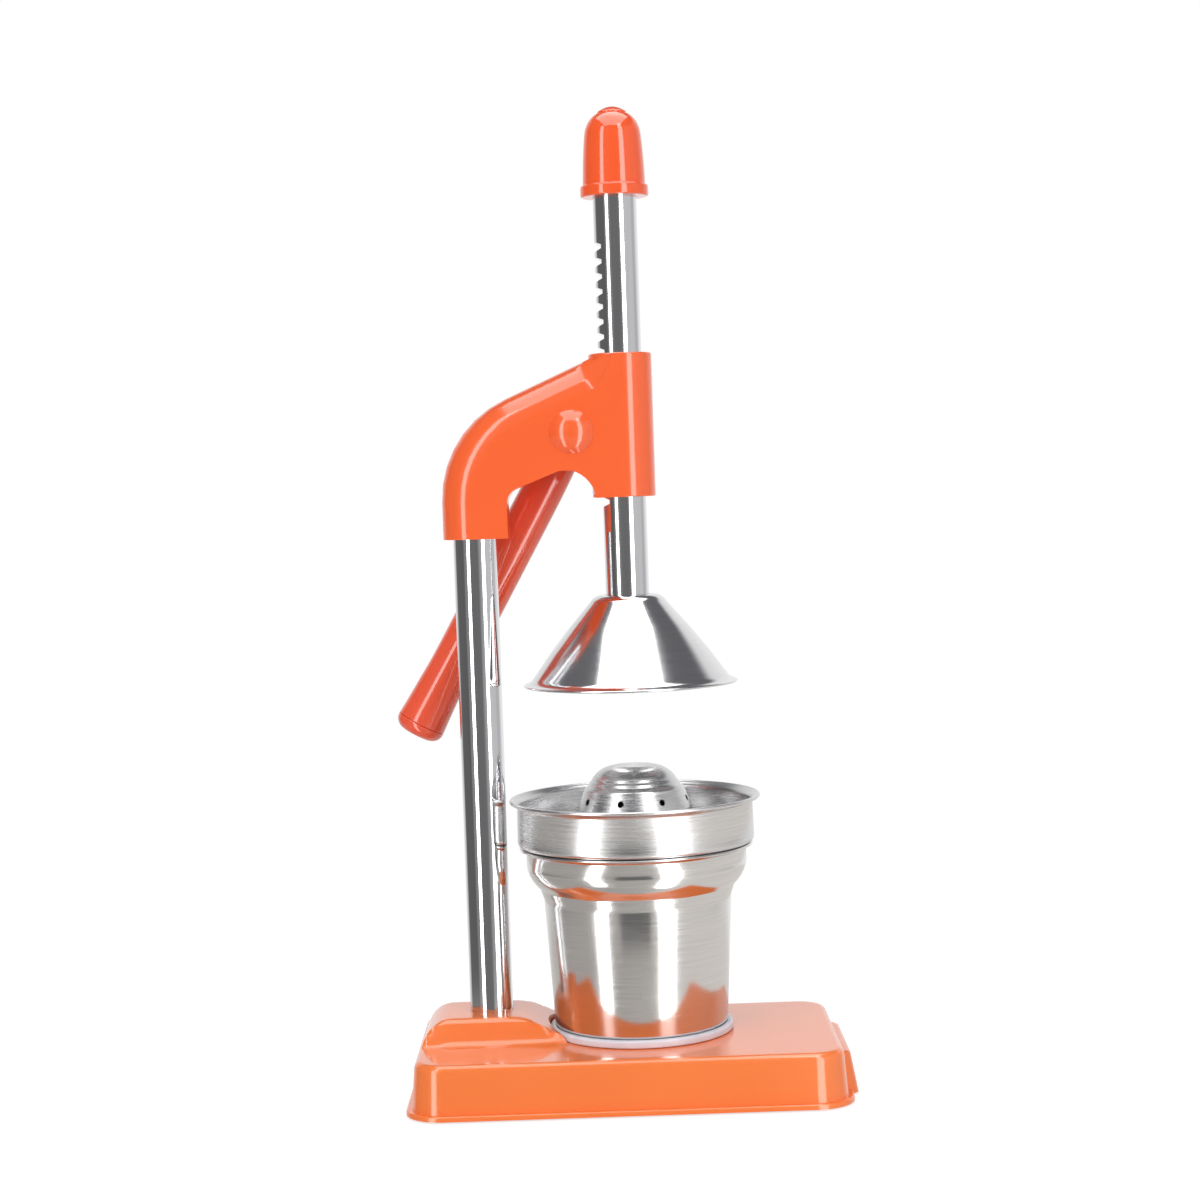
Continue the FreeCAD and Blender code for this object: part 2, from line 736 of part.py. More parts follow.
def arm_housing():
    """The arm: a round bar bent over the column and a flat web below it, with the pressing sleeve."""
    body = new_body("arm_housing", press_x, size.press_y)
    radius = size.sleeve_radius
    column_line = -size.column_gap
    bend = size.arm_bend_radius
    bend_x = column_line + bend
    crown_x = bend_x - bend * sine(size.arm_slope)
    crown_z = size.arm_bend_z + bend * cosine(size.arm_slope)
    end_z = crown_z - crown_x * tangent(size.arm_slope)

    section = circle(sketch_on(body, "XY_Plane", lift=size.column_sleeve_z), radius, column_line)
    path = sketch_on(body, "XZ_Plane")
    outline(
        path,
        (column_line, size.column_sleeve_z),
        (column_line, size.arm_bend_z),
        (crown_x, crown_z, bend, -1),
        (0, end_z),
        closed=False,
    )
    bar = body.newObject("PartDesign::AdditivePipe", "Bar")
    bar.Profile = (section, [""])
    bar.Spine = (path, [""])

    web = sketch_on(body, "XZ_Plane", lift=-radius)
    window = column_line + size.window_left
    outline(
        web,
        (column_line, size.column_sleeve_z),
        (window, size.column_sleeve_z),
        (window, size.window_corner_z),
        (-size.window_slant_end, size.window_peak_z),
        (-size.window_peak_end, size.window_peak_z),
        (-size.window_right, size.guide_bottom_z, size.scallop_radius, -1),
        (0, size.guide_bottom_z),
        (0, end_z),
        (crown_x, crown_z),
        (column_line, size.arm_bend_z, bend, 1),
    )
    plate = extrude(body, web, radius * 2)
    soften(body, plate, size.window_round, at_point_xz(window, size.window_corner_z))

    guide = circle(sketch_on(body, "XY_Plane", lift=size.guide_bottom_z), radius)
    extrude(body, guide, size.guide_top_z - size.guide_bottom_z)
    trim = circle(sketch_on(body, "XY_Plane", lift=size.guide_top_z), radius * 3)
    level = extrude(body, trim, radius, cut=True)
    soften(body, level, size.sleeve_edge, at_height(size.guide_top_z))

    dome = sketch_on(body, "XY_Plane", x=-size.pivot_gap, lift=size.pivot_z)
    face = -radius
    outline(
        dome,
        (0, face + size.cut_overrun),
        (0, face - size.dome_rise),
        (size.crown_flat, face - size.dome_rise),
        (size.dome_base, face, bulge(size.dome_base - size.crown_flat, size.dome_rise), 1),
        (size.dome_base, face + size.cut_overrun),
    )
    revolve(body, dome)
    arm_bores(body)


def at_point_xz(x, z):
    """True for an edge along Y through a point of the arm's own frame."""
    def test(edge):
        box = edge.BoundBox
        return max(abs(box.XMin - x.number), abs(box.XMax - x.number), abs(box.ZMin - z.number),
                   abs(box.ZMax - z.number)) < 1e-3
    return test


def arm_bores(body):
    """The bores for the column, plunger and shaft, the gear chamber and the lock screw's hole."""
    column_line = -size.column_gap
    socket = circle(sketch_on(body, "XY_Plane", lift=size.column_sleeve_z), column_bore, column_line)
    extrude(body, socket, size.column_grip + size.running_gap, cut=True)
    guide = circle(sketch_on(body, "XY_Plane", lift=size.guide_bottom_z), guide_bore + size.press_gap)
    extrude(body, guide, size.guide_top_z - size.guide_lip - size.guide_bottom_z, cut=True)
    mouth = circle(sketch_on(body, "XY_Plane", lift=size.guide_bottom_z), size.rod_radius + size.loose_gap)
    extrude(body, mouth, size.guide_top_z, cut=True)
    behind = size.sleeve_radius + size.cut_overrun
    chamber = sketch_on(body, "XZ_Plane", lift=-behind)
    circle(chamber, chamber_radius, -size.pivot_gap, size.pivot_z)
    extrude(body, chamber, behind + chamber_half, cut=True)
    bearing = sketch_on(body, "XZ_Plane", lift=chamber_half - size.cut_overrun)
    circle(bearing, bearing_radius + size.press_gap, -size.pivot_gap, size.pivot_z)
    extrude(body, bearing, size.front_bearing_length + size.cut_overrun + size.loose_gap, cut=True)
    lock = sketch_on(body, "XZ_Plane", lift=-behind)
    circle(lock, size.lock_screw_radius + size.press_gap, column_line, size.lock_screw_z)
    extrude(body, lock, behind - size.column_radius + size.loose_gap, cut=True)


def arm_fittings():
    """Guide bushes, bearings, the gear chamber's cover and the column's lock screw."""
    spot = (press_x, size.press_y)
    inner = size.rod_radius + size.running_gap
    low = size.guide_bottom_z + size.bush_recess
    high = size.guide_top_z - size.guide_lip
    sleeve("lower_guide_bush", inner, guide_bore, low, low + size.lower_bush_length, spot)
    sleeve("upper_guide_bush", inner, guide_bore, high - size.upper_bush_length, high, spot)
    pivot = (pivot_x, size.press_y, size.pivot_z)
    shaft_bore = size.shaft_radius + size.running_gap
    front = -chamber_half
    front_end = front - size.front_bearing_length
    sleeve("front_bearing", shaft_bore, bearing_radius, front_end, front, pivot, "XY_Plane")
    rear = size.sleeve_radius
    rear_end = rear - size.rear_bearing_length
    sleeve("rear_bearing", shaft_bore, bearing_radius, rear_end, rear, pivot, "XY_Plane")
    rim = chamber_radius - size.press_gap
    bore = bearing_radius + size.press_gap
    sleeve("gear_cover", bore, rim, gear_cover_front, rear - size.running_gap, pivot, "XY_Plane")
    lock_spot = (column_x, size.press_y, size.lock_screw_z)
    point = size.column_radius + size.running_gap
    tail = size.sleeve_radius - size.loose_gap
    chain = ((0, point), (size.lock_screw_radius, point), (size.lock_screw_radius, tail), (0, tail))
    lock = turned("arm_lock_screw", chain, lock_spot, "XY_Plane")
    key = polygon(sketch_on(lock, "XZ_Plane", lift=-tail), 6, size.lock_screw_radius)
    extrude(lock, key, size.lock_key_depth, cut=True, along=True)


def pinion():
    """The gear on the shaft, one tooth in the rack gap nearest the shaft's height."""
    turn = (first_gap_z - size.pivot_z) / pitch_radius * (-180 / math.pi)
    body = new_body("pinion_gear", pivot_x, size.press_y, size.pivot_z, turn)
    root = pitch_radius - size.pinion_tooth_root
    half = size.pinion_width / 2
    blank = sketch_on(body, "XZ_Plane", lift=-half)
    circle(blank, root)
    extrude(body, blank, size.pinion_width)
    middle = size.gap_pitch / 4 - size.backlash
    foot = middle + size.pinion_tooth_spread
    tip = middle - size.pinion_tooth_rise * tangent(size.pinion_flank_lean)
    tooth = sketch_on(body, "XZ_Plane", lift=-half)
    outline(
        tooth,
        (root - size.cut_overrun, -foot),
        (root, -foot),
        (pitch_radius, -middle),
        (pinion_radius, -tip),
        (pinion_radius, tip),
        (pitch_radius, middle),
        (root, foot),
        (root - size.cut_overrun, foot),
    )
    repeat_round(body, extrude(body, tooth, size.pinion_width), "Y_Axis", size.pinion_teeth)
    bore = sketch_on(body, "XZ_Plane", lift=-half - size.cut_overrun)
    circle(bore, size.shaft_radius + size.press_gap)
    extrude(body, bore, size.pinion_width + size.cut_overrun * 2, cut=True)


def lever_parts():
    pivot = (pivot_x, size.press_y, size.pivot_z)
    hub_front = size.sleeve_radius + size.hub_front_gap
    head_floor = size.hub_rear_y - size.lever_screw_sink - size.lever_screw_head - size.lever_washer_thick
    drive_end = head_floor - size.hub_web
    front = -chamber_half - size.front_bearing_length
    round_end = hub_front - size.running_gap
    shaft = turned(
        "pinion_shaft",
        ((0, front), (size.shaft_radius, front), (size.shaft_radius, round_end), (0, round_end)),
        (*pivot, size.lever_angle),
        "XY_Plane",
    )
    square = sketch_on(shaft, "XZ_Plane", lift=-round_end)
    polygon(square, 4, size.shaft_square)
    extrude(shaft, square, drive_end - round_end - size.loose_gap, along=False)
    hole = circle(sketch_on(shaft, "XZ_Plane", lift=-drive_end), size.lever_screw_radius + size.press_gap)
    extrude(shaft, hole, size.lever_screw_depth, cut=True, along=True)

    lever = new_body("lever_handle", *pivot, size.lever_angle)
    hub = circle(sketch_on(lever, "XZ_Plane", lift=-hub_front), size.hub_radius)
    hub_pad = extrude(lever, hub, size.hub_rear_y - hub_front, along=False)
    soften(lever, hub_pad, size.hub_round, at_depth(size.hub_rear_y))
    grip = sketch_on(lever, "XZ_Plane", lift=-size.lever_y)
    plug = size.end_plug_radius + size.press_gap
    flare = bulge(grip_end - flare_start, size.grip_end_radius - size.grip_radius)
    neck = bulge(size.grip_neck_end - size.grip_start, size.grip_radius - size.grip_neck_radius)
    outline(
        grip,
        (0, -grip_end),
        (size.grip_end_radius, -grip_end),
        (size.grip_radius, -flare_start, flare, -1),
        (size.grip_radius, -size.grip_neck_end),
        (size.grip_neck_radius, -size.grip_start, neck, 1),
        (0, -size.grip_start),
    )
    revolve(lever, grip)
    drive = sketch_on(lever, "XZ_Plane", lift=size.cut_overrun - hub_front)
    polygon(drive, 4, size.shaft_square + size.press_gap * 2)
    extrude(lever, drive, drive_end - hub_front + size.cut_overrun, cut=True, along=False)
    passage = circle(sketch_on(lever, "XZ_Plane", lift=-hub_front), size.lever_screw_radius + size.screw_gap)
    extrude(lever, passage, size.hub_rear_y - hub_front, cut=True, along=False)
    recess = sketch_on(lever, "XZ_Plane", lift=-head_floor)
    circle(recess, size.lever_washer_radius + size.loose_gap)
    extrude(lever, recess, size.hub_rear_y - head_floor + size.cut_overrun, cut=True, along=False)
    pit = sketch_on(lever, "XZ_Plane", lift=-size.lever_y)
    pit_top = size.end_plug_length + size.running_gap - grip_end
    pit_mouth = -grip_end - size.cut_overrun
    outline(pit, (0, pit_mouth), (plug, pit_mouth), (plug, pit_top), (0, pit_top))
    revolve(lever, pit, cut=True)

    end_cap = new_body("lever_end_cap", *pivot, size.lever_angle)
    dome = sketch_on(end_cap, "XZ_Plane", lift=-size.lever_y)
    seam = -grip_end - size.press_gap
    plug_top = size.end_plug_length - grip_end
    corner = size.end_cap_corner
    crown = size.grip_end_radius - corner
    rise = size.lever_length + seam - corner
    outline(
        dome,
        (0, -size.lever_length),
        (size.crown_flat, -size.lever_length),
        (crown, seam - corner, bulge(crown - size.crown_flat, rise), 1),
        (size.grip_end_radius, seam, corner, 1),
        (size.end_plug_radius, seam),
        (size.end_plug_radius, plug_top),
        (0, plug_top),
    )
    revolve(end_cap, dome)

    washer_bore = size.lever_screw_radius + size.screw_gap
    seat = head_floor + size.lever_washer_thick
    sleeve("lever_washer", washer_bore, size.lever_washer_radius, head_floor, seat, pivot, "XY_Plane")
    tip = drive_end - size.lever_screw_depth + size.screw_end_gap
    socket_screw("lever_screw", size.lever_screw_radius, size.lever_screw_head_radius,
                 size.lever_screw_head, tip, seat, pivot, "XY_Plane")


def at_depth(rear):
    """True for an edge that lies wholly on the plane y = rear."""
    def test(edge):
        box = edge.BoundBox
        return abs(box.YMin - rear.number) < 1e-4 and abs(box.YMax - rear.number) < 1e-4
    return test


def plunger_parts():
    spot = (press_x, size.press_y)
    rod_top = cap_bottom_z + size.cap_socket_depth
    rod_bottom = size.rod_bottom_z
    section = ((0, rod_bottom), (size.rod_radius, rod_bottom), (size.rod_radius, rod_top), (0, rod_top))
    rod = turned("plunger_rod", section, spot)
    pitch_line = pitch_radius - size.pivot_gap
    floor = size.gap_depth - size.rod_radius
    outside = -size.rod_radius - size.cut_overrun
    lean = tangent(size.flank_lean)
    middle = size.gap_pitch / 4 + size.backlash
    narrow = middle - (floor - pitch_line) * lean
    wide = middle + (pitch_line - outside) * lean
    first = first_gap_z
    gap = sketch_on(rod, "XZ_Plane", lift=outside)
    outline(
        gap,
        (outside, first - wide),
        (floor, first - narrow),
        (floor, first + narrow),
        (outside, first + wide),
    )
    cut = extrude(rod, gap, -outside * 2, cut=True)
    rack = rod.newObject("PartDesign::LinearPattern", "Rack")
    rack.Originals = [cut]
    rack.Direction = (plane_of(rod, "Z_Axis"), [""])
    rack.Reversed = True
    more_gaps = whole((first - rod_bottom - size.rack_bottom_rise) / size.gap_pitch)
    bind(rack, "Length", more_gaps * size.gap_pitch)
    bind(rack, "Occurrences", more_gaps + 1)
    rod.Tip = rack
    low_hole = sketch_on(rod, "XY_Plane", lift=rod_bottom)
    circle(low_hole, size.cone_screw_radius + size.press_gap)
    extrude(rod, low_hole, size.cone_screw_length, cut=True)
    top_hole = sketch_on(rod, "XY_Plane", lift=rod_top - size.cap_screw_length)
    circle(top_hole, size.cap_screw_radius + size.press_gap)
    extrude(rod, top_hole, size.cap_screw_length + size.cut_overrun, cut=True)

    plunger_cap(spot, rod_top)
    presser_cone(spot)


def plunger_cap(spot, rod_top):
    low = cap_bottom_z
    socket = size.rod_radius + size.press_gap
    web_top = rod_top + size.press_gap + size.cap_web
    screw_bore = size.cap_screw_radius + size.screw_gap
    well = size.button_radius - size.button_stem_wall
    flange_top = low + size.cap_flange_thick
    body = turned(
        "plunger_cap",
        (
            (socket, low),
            (size.cap_flange_radius, low),
            (size.cap_flange_radius, flange_top),
            (size.cap_foot_radius, flange_top),
            (size.cap_shoulder_radius, button_z - size.cap_shoulder_drop),
            (size.button_radius, button_z, size.cap_crown_round, 1),
            (well, button_z),
            (well, web_top),
            (screw_bore, web_top),
            (screw_bore, rod_top + size.press_gap),
            (socket, rod_top + size.press_gap),
        ),
        spot,
    )
    doc.recompute()
    level = at_height(flange_top)
    inside = (size.cap_flange_radius + size.cap_foot_radius) / 2
    soften(body, body.Tip, size.cap_flange_round,
           lambda edge: level(edge) and edge.BoundBox.XMax > inside.number)
    stem = well - size.press_gap
    stem_z = button_z - size.button_stem_length
    seam = button_z + size.press_gap
    dome = bulge(size.button_radius - size.crown_flat, size.overall_height - seam)
    turned(
        "cap_button",
        (
            (0, stem_z),
            (stem, stem_z),
            (stem, seam),
            (size.button_radius, seam),
            (size.crown_flat, size.overall_height, dome, 1),
            (0, size.overall_height),
        ),
        spot,
    )
    tip_z = rod_top - size.cap_screw_length + size.screw_end_gap
    socket_screw("cap_screw", size.cap_screw_radius, size.cap_screw_head_radius, size.cap_screw_head,
                 tip_z, web_top, spot)


def presser_cone(spot):
    top = size.rod_bottom_z - size.press_gap
    sheet = size.cone_sheet
    shoulder = top - size.cone_shoulder_drop
    flank = top - size.cone_flank_drop
    lip = top - size.cone_lip_drop
    bore = size.cone_screw_radius + size.screw_gap
    side = size.cone_side_sheet
    turned(
        "presser_cone",
        (
            (bore, top - sheet),
            (size.cone_neck_radius - sheet / 2, top - sheet),
            (size.cone_shoulder_radius - side, shoulder - side, size.cone_shoulder_round, -1),
            (size.cone_flank_radius - side, flank - side, size.cone_flank_round, -1),
            (size.cone_lip_radius, lip - sheet, size.cone_lip_round, 1),
            (size.cone_lip_radius, lip),
            (size.cone_flank_radius, flank, size.cone_lip_round, -1),
            (size.cone_shoulder_radius, shoulder, size.cone_flank_round, 1),
            (size.cone_neck_radius, top, size.cone_shoulder_round, 1),
            (bore, top),
        ),
        spot,
    )
    seat = top - sheet
    washer_low = seat - size.cone_washer_thick
    sleeve("cone_washer", bore, size.cone_washer_radius, washer_low, seat, spot)
    tip = size.rod_bottom_z + size.cone_screw_length - size.screw_end_gap
    socket_screw("cone_screw", size.cone_screw_radius, size.cone_screw_head_radius, size.cone_screw_head,
                 tip, washer_low, spot)


def cup_parts():
    spot = (press_x, size.press_y)
    low = size.deck_z + size.rest_gap
    floor = cup_floor_z
    ring_top = low + size.foot_ring_height
    hold = size.foot_ring_radius - size.foot_ring_wall
    turned(
        "cup_foot_ring",
        (
            (size.foot_ring_hole, low),
            (size.foot_ring_radius, low),
            (size.foot_ring_radius, ring_top - size.foot_ring_round),
            (size.foot_ring_radius - size.foot_ring_round, ring_top, size.foot_ring_round, 1),
            (hold, ring_top),
            (hold - size.foot_ring_round, floor, size.foot_ring_round, -1),
            (size.foot_ring_hole, floor),
        ),
        spot,
    )
    sheet = size.cup_sheet
    base_z = floor + size.press_gap
    heel = base_z + size.cup_base_rise
    rim_middle = size.cup_rim_z - size.cup_rim_thick / 2
    turned(
        "juice_cup",
        (
            (0, base_z),
            (size.cup_floor_radius, base_z),
            (size.cup_base_radius, heel, size.cup_base_round, 1),
            (size.cup_waist_radius, size.cup_waist_z),
            (size.cup_shoulder_radius, size.cup_shoulder_z),
            (size.cup_neck_radius, size.cup_neck_z, size.cup_shoulder_round, 1),
            (size.cup_neck_radius, size.cup_neck_top_z),
            (size.cup_rim_radius, rim_middle, size.cup_rim_round, -1),
            (size.cup_rim_radius, size.cup_rim_z),
            (size.cup_neck_radius - sheet, size.cup_rim_z),
            (size.cup_neck_radius - sheet, size.cup_neck_z),
            (size.cup_shoulder_radius - sheet, size.cup_shoulder_z, size.cup_shoulder_round, -1),
            (size.cup_waist_radius - sheet, size.cup_waist_z),
            (size.cup_base_radius - sheet, heel + sheet / 2),
            (size.cup_floor_radius - sheet, base_z + sheet, size.cup_base_round, -1),
            (0, base_z + sheet),
        ),
        spot,
    )


def bowl_parts():
    spot = (press_x, size.press_y)
    sheet = size.bowl_sheet
    under = bowl_foot_z
    step = size.cup_neck_radius - size.cup_sheet - size.bowl_step_clearance
    floor = under - size.bowl_step_drop
    bowl = turned(
        "strainer_bowl",
        (
            (size.bowl_mouth_radius, floor),
            (step, floor),
            (step, under),
            (size.bowl_foot_radius, under),
            (size.bowl_wall_foot_radius, under + size.bowl_foot_rise, size.bowl_foot_round, 1),
            (size.bowl_wall_radius, size.bowl_wall_z),
            (size.bowl_flare_radius, size.bowl_rim_z - sheet * 2, size.bowl_flare_round, -1),
            (size.bowl_rim_radius, size.bowl_rim_z - sheet),
            (size.bowl_flare_radius, size.bowl_rim_z, sheet, 1),
            (size.bowl_wall_radius - sheet, size.bowl_wall_z, size.bowl_flare_round, 1),
            (size.bowl_wall_foot_radius - sheet, under + size.bowl_foot_rise + sheet),
            (size.bowl_foot_radius, under + sheet, size.bowl_foot_round, -1),
            (step - sheet, under + sheet),
            (step - sheet, floor + sheet),
            (size.bowl_mouth_radius, floor + sheet),
        ),
        spot,
    )
    drain = sketch_on(bowl, "XY_Plane", lift=floor - size.cut_overrun)
    circle(drain, size.bowl_drain_radius, size.bowl_drain_circle)
    pierce = extrude(bowl, drain, sheet + size.cut_overrun * 2, cut=True)
    repeat_round(bowl, pierce, "Z_Axis", size.bowl_drain_count)
    reamer(spot, floor + sheet + size.press_gap)


def reamer(spot, foot_z):
    """The stepped squeezing dome, pierced round its skirt."""
    sheet = size.reamer_sheet
    outer = (
        (size.reamer_flange_radius, foot_z),
        (size.reamer_flange_radius, foot_z + sheet),
        (size.reamer_foot_radius, foot_z + sheet),
        (size.reamer_skirt_radius, size.reamer_skirt_z),
        (size.reamer_ring_radius, size.reamer_ring_z),
        (size.reamer_step_radius, size.reamer_step_z),
        (size.reamer_upper_radius, size.reamer_upper_z),
        (size.reamer_crown_radius, size.reamer_crown_z),
        (size.reamer_top_radius, size.reamer_top_z, size.reamer_crown_round, 1),
        (0, size.reamer_top_z),
    )
    inner = (
        (0, size.reamer_top_z - sheet),
        (size.reamer_top_radius - sheet / 2, size.reamer_top_z - sheet),
        (size.reamer_crown_radius - sheet, size.reamer_crown_z - sheet / 2, size.reamer_crown_round, -1),
        (size.reamer_upper_radius - sheet, size.reamer_upper_z - sheet / 2),
        (size.reamer_step_radius - sheet, size.reamer_step_z - sheet / 2),
        (size.reamer_ring_radius - sheet, size.reamer_ring_z - sheet / 2),
        (size.reamer_skirt_radius - sheet, size.reamer_skirt_z),
        (size.reamer_foot_radius - sheet, foot_z),
    )
    body = turned("reamer_dome", outer + inner, spot)
    hole = sketch_on(body, "YZ_Plane", y=size.reamer_hole_z)
    circle(hole, size.reamer_hole_radius)
    pierce = extrude(body, hole, size.reamer_flange_radius, cut=True)
    repeat_round(body, pierce, "Z_Axis", size.reamer_hole_count)


def check(document):
    """Stops on a failed object, an empty or invalid shape, or a cut that removes nothing."""
    for item in document.Objects:
        if "Invalid" in item.State or "Error" in item.State:
            raise RuntimeError("%s (%s) failed: %s" % (item.Name, item.Label, item.State))
    for part in PARTS:
        if part.Shape.isNull() or not part.Shape.isValid():
            raise RuntimeError("%s has no valid shape" % part.Label)
        volume = 0
        for feature in getattr(part, "Group", []):
            if not feature.isDerivedFrom("PartDesign::Feature"):
                continue
            cuts = any(word in feature.TypeId for word in ("Pocket", "Groove", "Subtractive"))
            if cuts and feature.Shape.Volume > volume - 1e-6:
                raise RuntimeError("%s: %s removes nothing" % (part.Label, feature.Name))
            volume = feature.Shape.Volume


base_shell()
foot_pads()
column()
arm_housing()
arm_fittings()
pinion()
lever_parts()
plunger_parts()
cup_parts()
bowl_parts()
doc.recompute()
check(doc)

os.makedirs("parts", exist_ok=True)
for part in PARTS:
    part.Shape.exportStep("parts/%s.step" % part.Label)
    box = part.Shape.BoundBox
    print("%-18s solids %d  x %.1f..%.1f  y %.1f..%.1f  z %.1f..%.1f" % (
        part.Label, len(part.Shape.Solids), box.XMin, box.XMax, box.YMin, box.YMax, box.ZMin, box.ZMax))
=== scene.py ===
import json
import math

import bmesh
import bpy
from mathutils import Matrix, Vector

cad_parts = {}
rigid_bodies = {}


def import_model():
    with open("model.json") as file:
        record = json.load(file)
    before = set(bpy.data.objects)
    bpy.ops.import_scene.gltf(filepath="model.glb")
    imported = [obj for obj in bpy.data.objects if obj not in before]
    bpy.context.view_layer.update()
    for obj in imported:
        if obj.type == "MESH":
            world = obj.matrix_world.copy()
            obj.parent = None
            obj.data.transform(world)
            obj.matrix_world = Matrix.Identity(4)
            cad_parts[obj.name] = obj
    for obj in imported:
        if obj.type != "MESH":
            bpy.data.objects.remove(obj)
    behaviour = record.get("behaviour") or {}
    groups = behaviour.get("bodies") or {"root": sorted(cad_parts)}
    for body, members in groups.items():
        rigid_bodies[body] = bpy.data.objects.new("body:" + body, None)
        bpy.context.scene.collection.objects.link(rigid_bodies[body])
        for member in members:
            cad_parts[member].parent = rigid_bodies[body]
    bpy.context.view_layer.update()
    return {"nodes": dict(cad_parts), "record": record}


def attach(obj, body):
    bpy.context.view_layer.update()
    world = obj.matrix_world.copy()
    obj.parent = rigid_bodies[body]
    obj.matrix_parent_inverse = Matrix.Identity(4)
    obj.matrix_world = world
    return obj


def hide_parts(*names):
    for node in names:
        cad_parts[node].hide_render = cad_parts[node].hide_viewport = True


MM = 0.001
MICRON = 0.000001

# The lamp, camera and cube that a new file opens with go first.
for spare in list(bpy.data.objects):
    bpy.data.objects.remove(spare)

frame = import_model()
bpy.ops.object.select_all(action="DESELECT")

# Places that the pieces are set by, in millimetres.
PRESS_X, PRESS_Y = 6.5, 4.0
COLUMN_X = -59.5
PIVOT_X, PIVOT_Z = -15.6, 287.0
LEVER_TURN = math.radians(29.5)
GRIP_Y = 29.5
DECK_Z = 23.4

# Grains to the metre in the finishes, from broad drifts of colour to fine dust.
DRIFT_GRAIN, SMEAR_GRAIN = 18, 26
PEEL_GRAIN, DUST_GRAIN = 420, 900
MARK_GRAIN, SPECK_GRAIN, LINE_GRAIN = 900, 1500, 2600
PAPER_GRAIN = 300


# Finishes

def wire(tree, kind, feeds, out=0, **settings):
    """Adds one shader node, feeds its inputs and gives back one of its outputs."""
    made = tree.nodes.new("ShaderNode" + kind)
    for setting, value in settings.items():
        setattr(made, setting, value)
    for name, feed in feeds.items():
        if isinstance(feed, bpy.types.NodeSocket):
            tree.links.new(feed, made.inputs[name])
        else:
            made.inputs[name].default_value = feed
    return made.outputs[out]


def blank_finish(name, **values):
    """A new material: its tree, its shader with the plain values set, and where on the piece it is."""
    made = bpy.data.materials.new(name)
    made.use_nodes = True
    tree = made.node_tree
    shader = tree.nodes["Principled BSDF"]
    for socket, value in values.items():
        shader.inputs[socket.replace("_", " ")].default_value = value
    place = wire(tree, "TexCoord", {}, out="Object")
    return made, tree, shader, place


def noise(tree, place, scale, detail=3.0, stretch=None):
    """Noise over the piece, of so many grains to the metre, drawn out along an axis if asked."""
    if stretch:
        place = wire(tree, "Mapping", {"Vector": place, "Scale": stretch})
    return wire(tree, "TexNoise", {"Vector": place, "Scale": scale, "Detail": detail})


def spread(tree, value, low, high, start=0.3, stop=0.7):
    """Turns a noise value into one between low and high."""
    return wire(tree, "MapRange", {"Value": value, "From Min": start, "From Max": stop,
                                   "To Min": low, "To Max": high})


def tint(tree, share, first, second):
    """A colour between two, by a share from 0 to 1. Each colour is a plain one or another node's output."""
    mixed = tree.nodes.new("ShaderNodeMix")
    mixed.data_type = "RGBA"
    tree.links.new(share, mixed.inputs["Factor"])
    for socket, feed in ((mixed.inputs[6], first), (mixed.inputs[7], second)):
        if isinstance(feed, bpy.types.NodeSocket):
            tree.links.new(feed, socket)
        else:
            socket.default_value = (*feed, 1)
    return mixed.outputs[2]


def dent(tree, shader, height, depth):
    """Gives the surface a fine relief of so many metres."""
    bump = wire(tree, "Bump", {"Height": height, "Distance": depth, "Strength": 1.0}, out="Normal")
    tree.links.new(bump, shader.inputs["Normal"])


def glossy_paint(name, dark, light, roughness, peel_depth):
    """Sprayed enamel or glossy plastic: a soft drift of colour, a faint peel and fine dust."""
    made, tree, shader, place = blank_finish(name, Coat_Weight=0.55, Coat_Roughness=0.05, Coat_IOR=1.5)
    drift = noise(tree, place, DRIFT_GRAIN, 2.0)
    tree.links.new(tint(tree, spread(tree, drift, 0, 1), dark, light), shader.inputs["Base Color"])
    dust = noise(tree, place, DUST_GRAIN, 4.0)
    tree.links.new(spread(tree, dust, roughness * 0.85, roughness * 1.2), shader.inputs["Roughness"])
    peel = noise(tree, place, PEEL_GRAIN, 2.0)
    dent(tree, shader, peel, peel_depth)
    return made


def round_the_press(tree, place):
    """Distance from the pressing axis, a little of the turn round it, and height: marks here run in rings."""
    centred = wire(tree, "Mapping", {"Vector": place, "Location": (-PRESS_X * MM, -PRESS_Y * MM, 0)})
    parts = tree.nodes.new("ShaderNodeSeparateXYZ")
    tree.links.new(centred, parts.inputs[0])
    flat = wire(tree, "CombineXYZ", {"X": parts.outputs["X"], "Y": parts.outputs["Y"]})
    reach = wire(tree, "VectorMath", {0: flat}, out="Value", operation="LENGTH")
    turned_by = wire(tree, "Math", {0: parts.outputs["X"], 1: parts.outputs["Y"]}, operation="ARCTAN2")
    drawn_out = wire(tree, "Math", {0: turned_by, 1: 0.0006}, operation="MULTIPLY")
    return wire(tree, "CombineXYZ", {"X": reach, "Y": drawn_out, "Z": parts.outputs["Z"]})


def spun_steel(name, dark, light, rough_low, rough_high, line_depth, brushed):
    """Steel sheet with the fine rings that spinning and polishing leave round its axis."""
    made, tree, shader, place = blank_finish(name, Metallic=1.0, Anisotropic=brushed)
    rings = round_the_press(tree, place)
    lines = noise(tree, rings, LINE_GRAIN, 4.0)
    smears = noise(tree, place, SMEAR_GRAIN, 3.0)
    tree.links.new(tint(tree, spread(tree, lines, 0, 1), dark, light), shader.inputs["Base Color"])
    rough = spread(tree, lines, rough_low, rough_high)
    worn = wire(tree, "Math", {0: rough, 1: spread(tree, smears, 0.9, 1.15)}, operation="MULTIPLY")
    tree.links.new(worn, shader.inputs["Roughness"])
    dent(tree, shader, lines, line_depth)
    tangent = wire(tree, "Tangent", {}, direction_type="RADIAL", axis="Z")
    tree.links.new(tangent, shader.inputs["Tangent"])
    return made


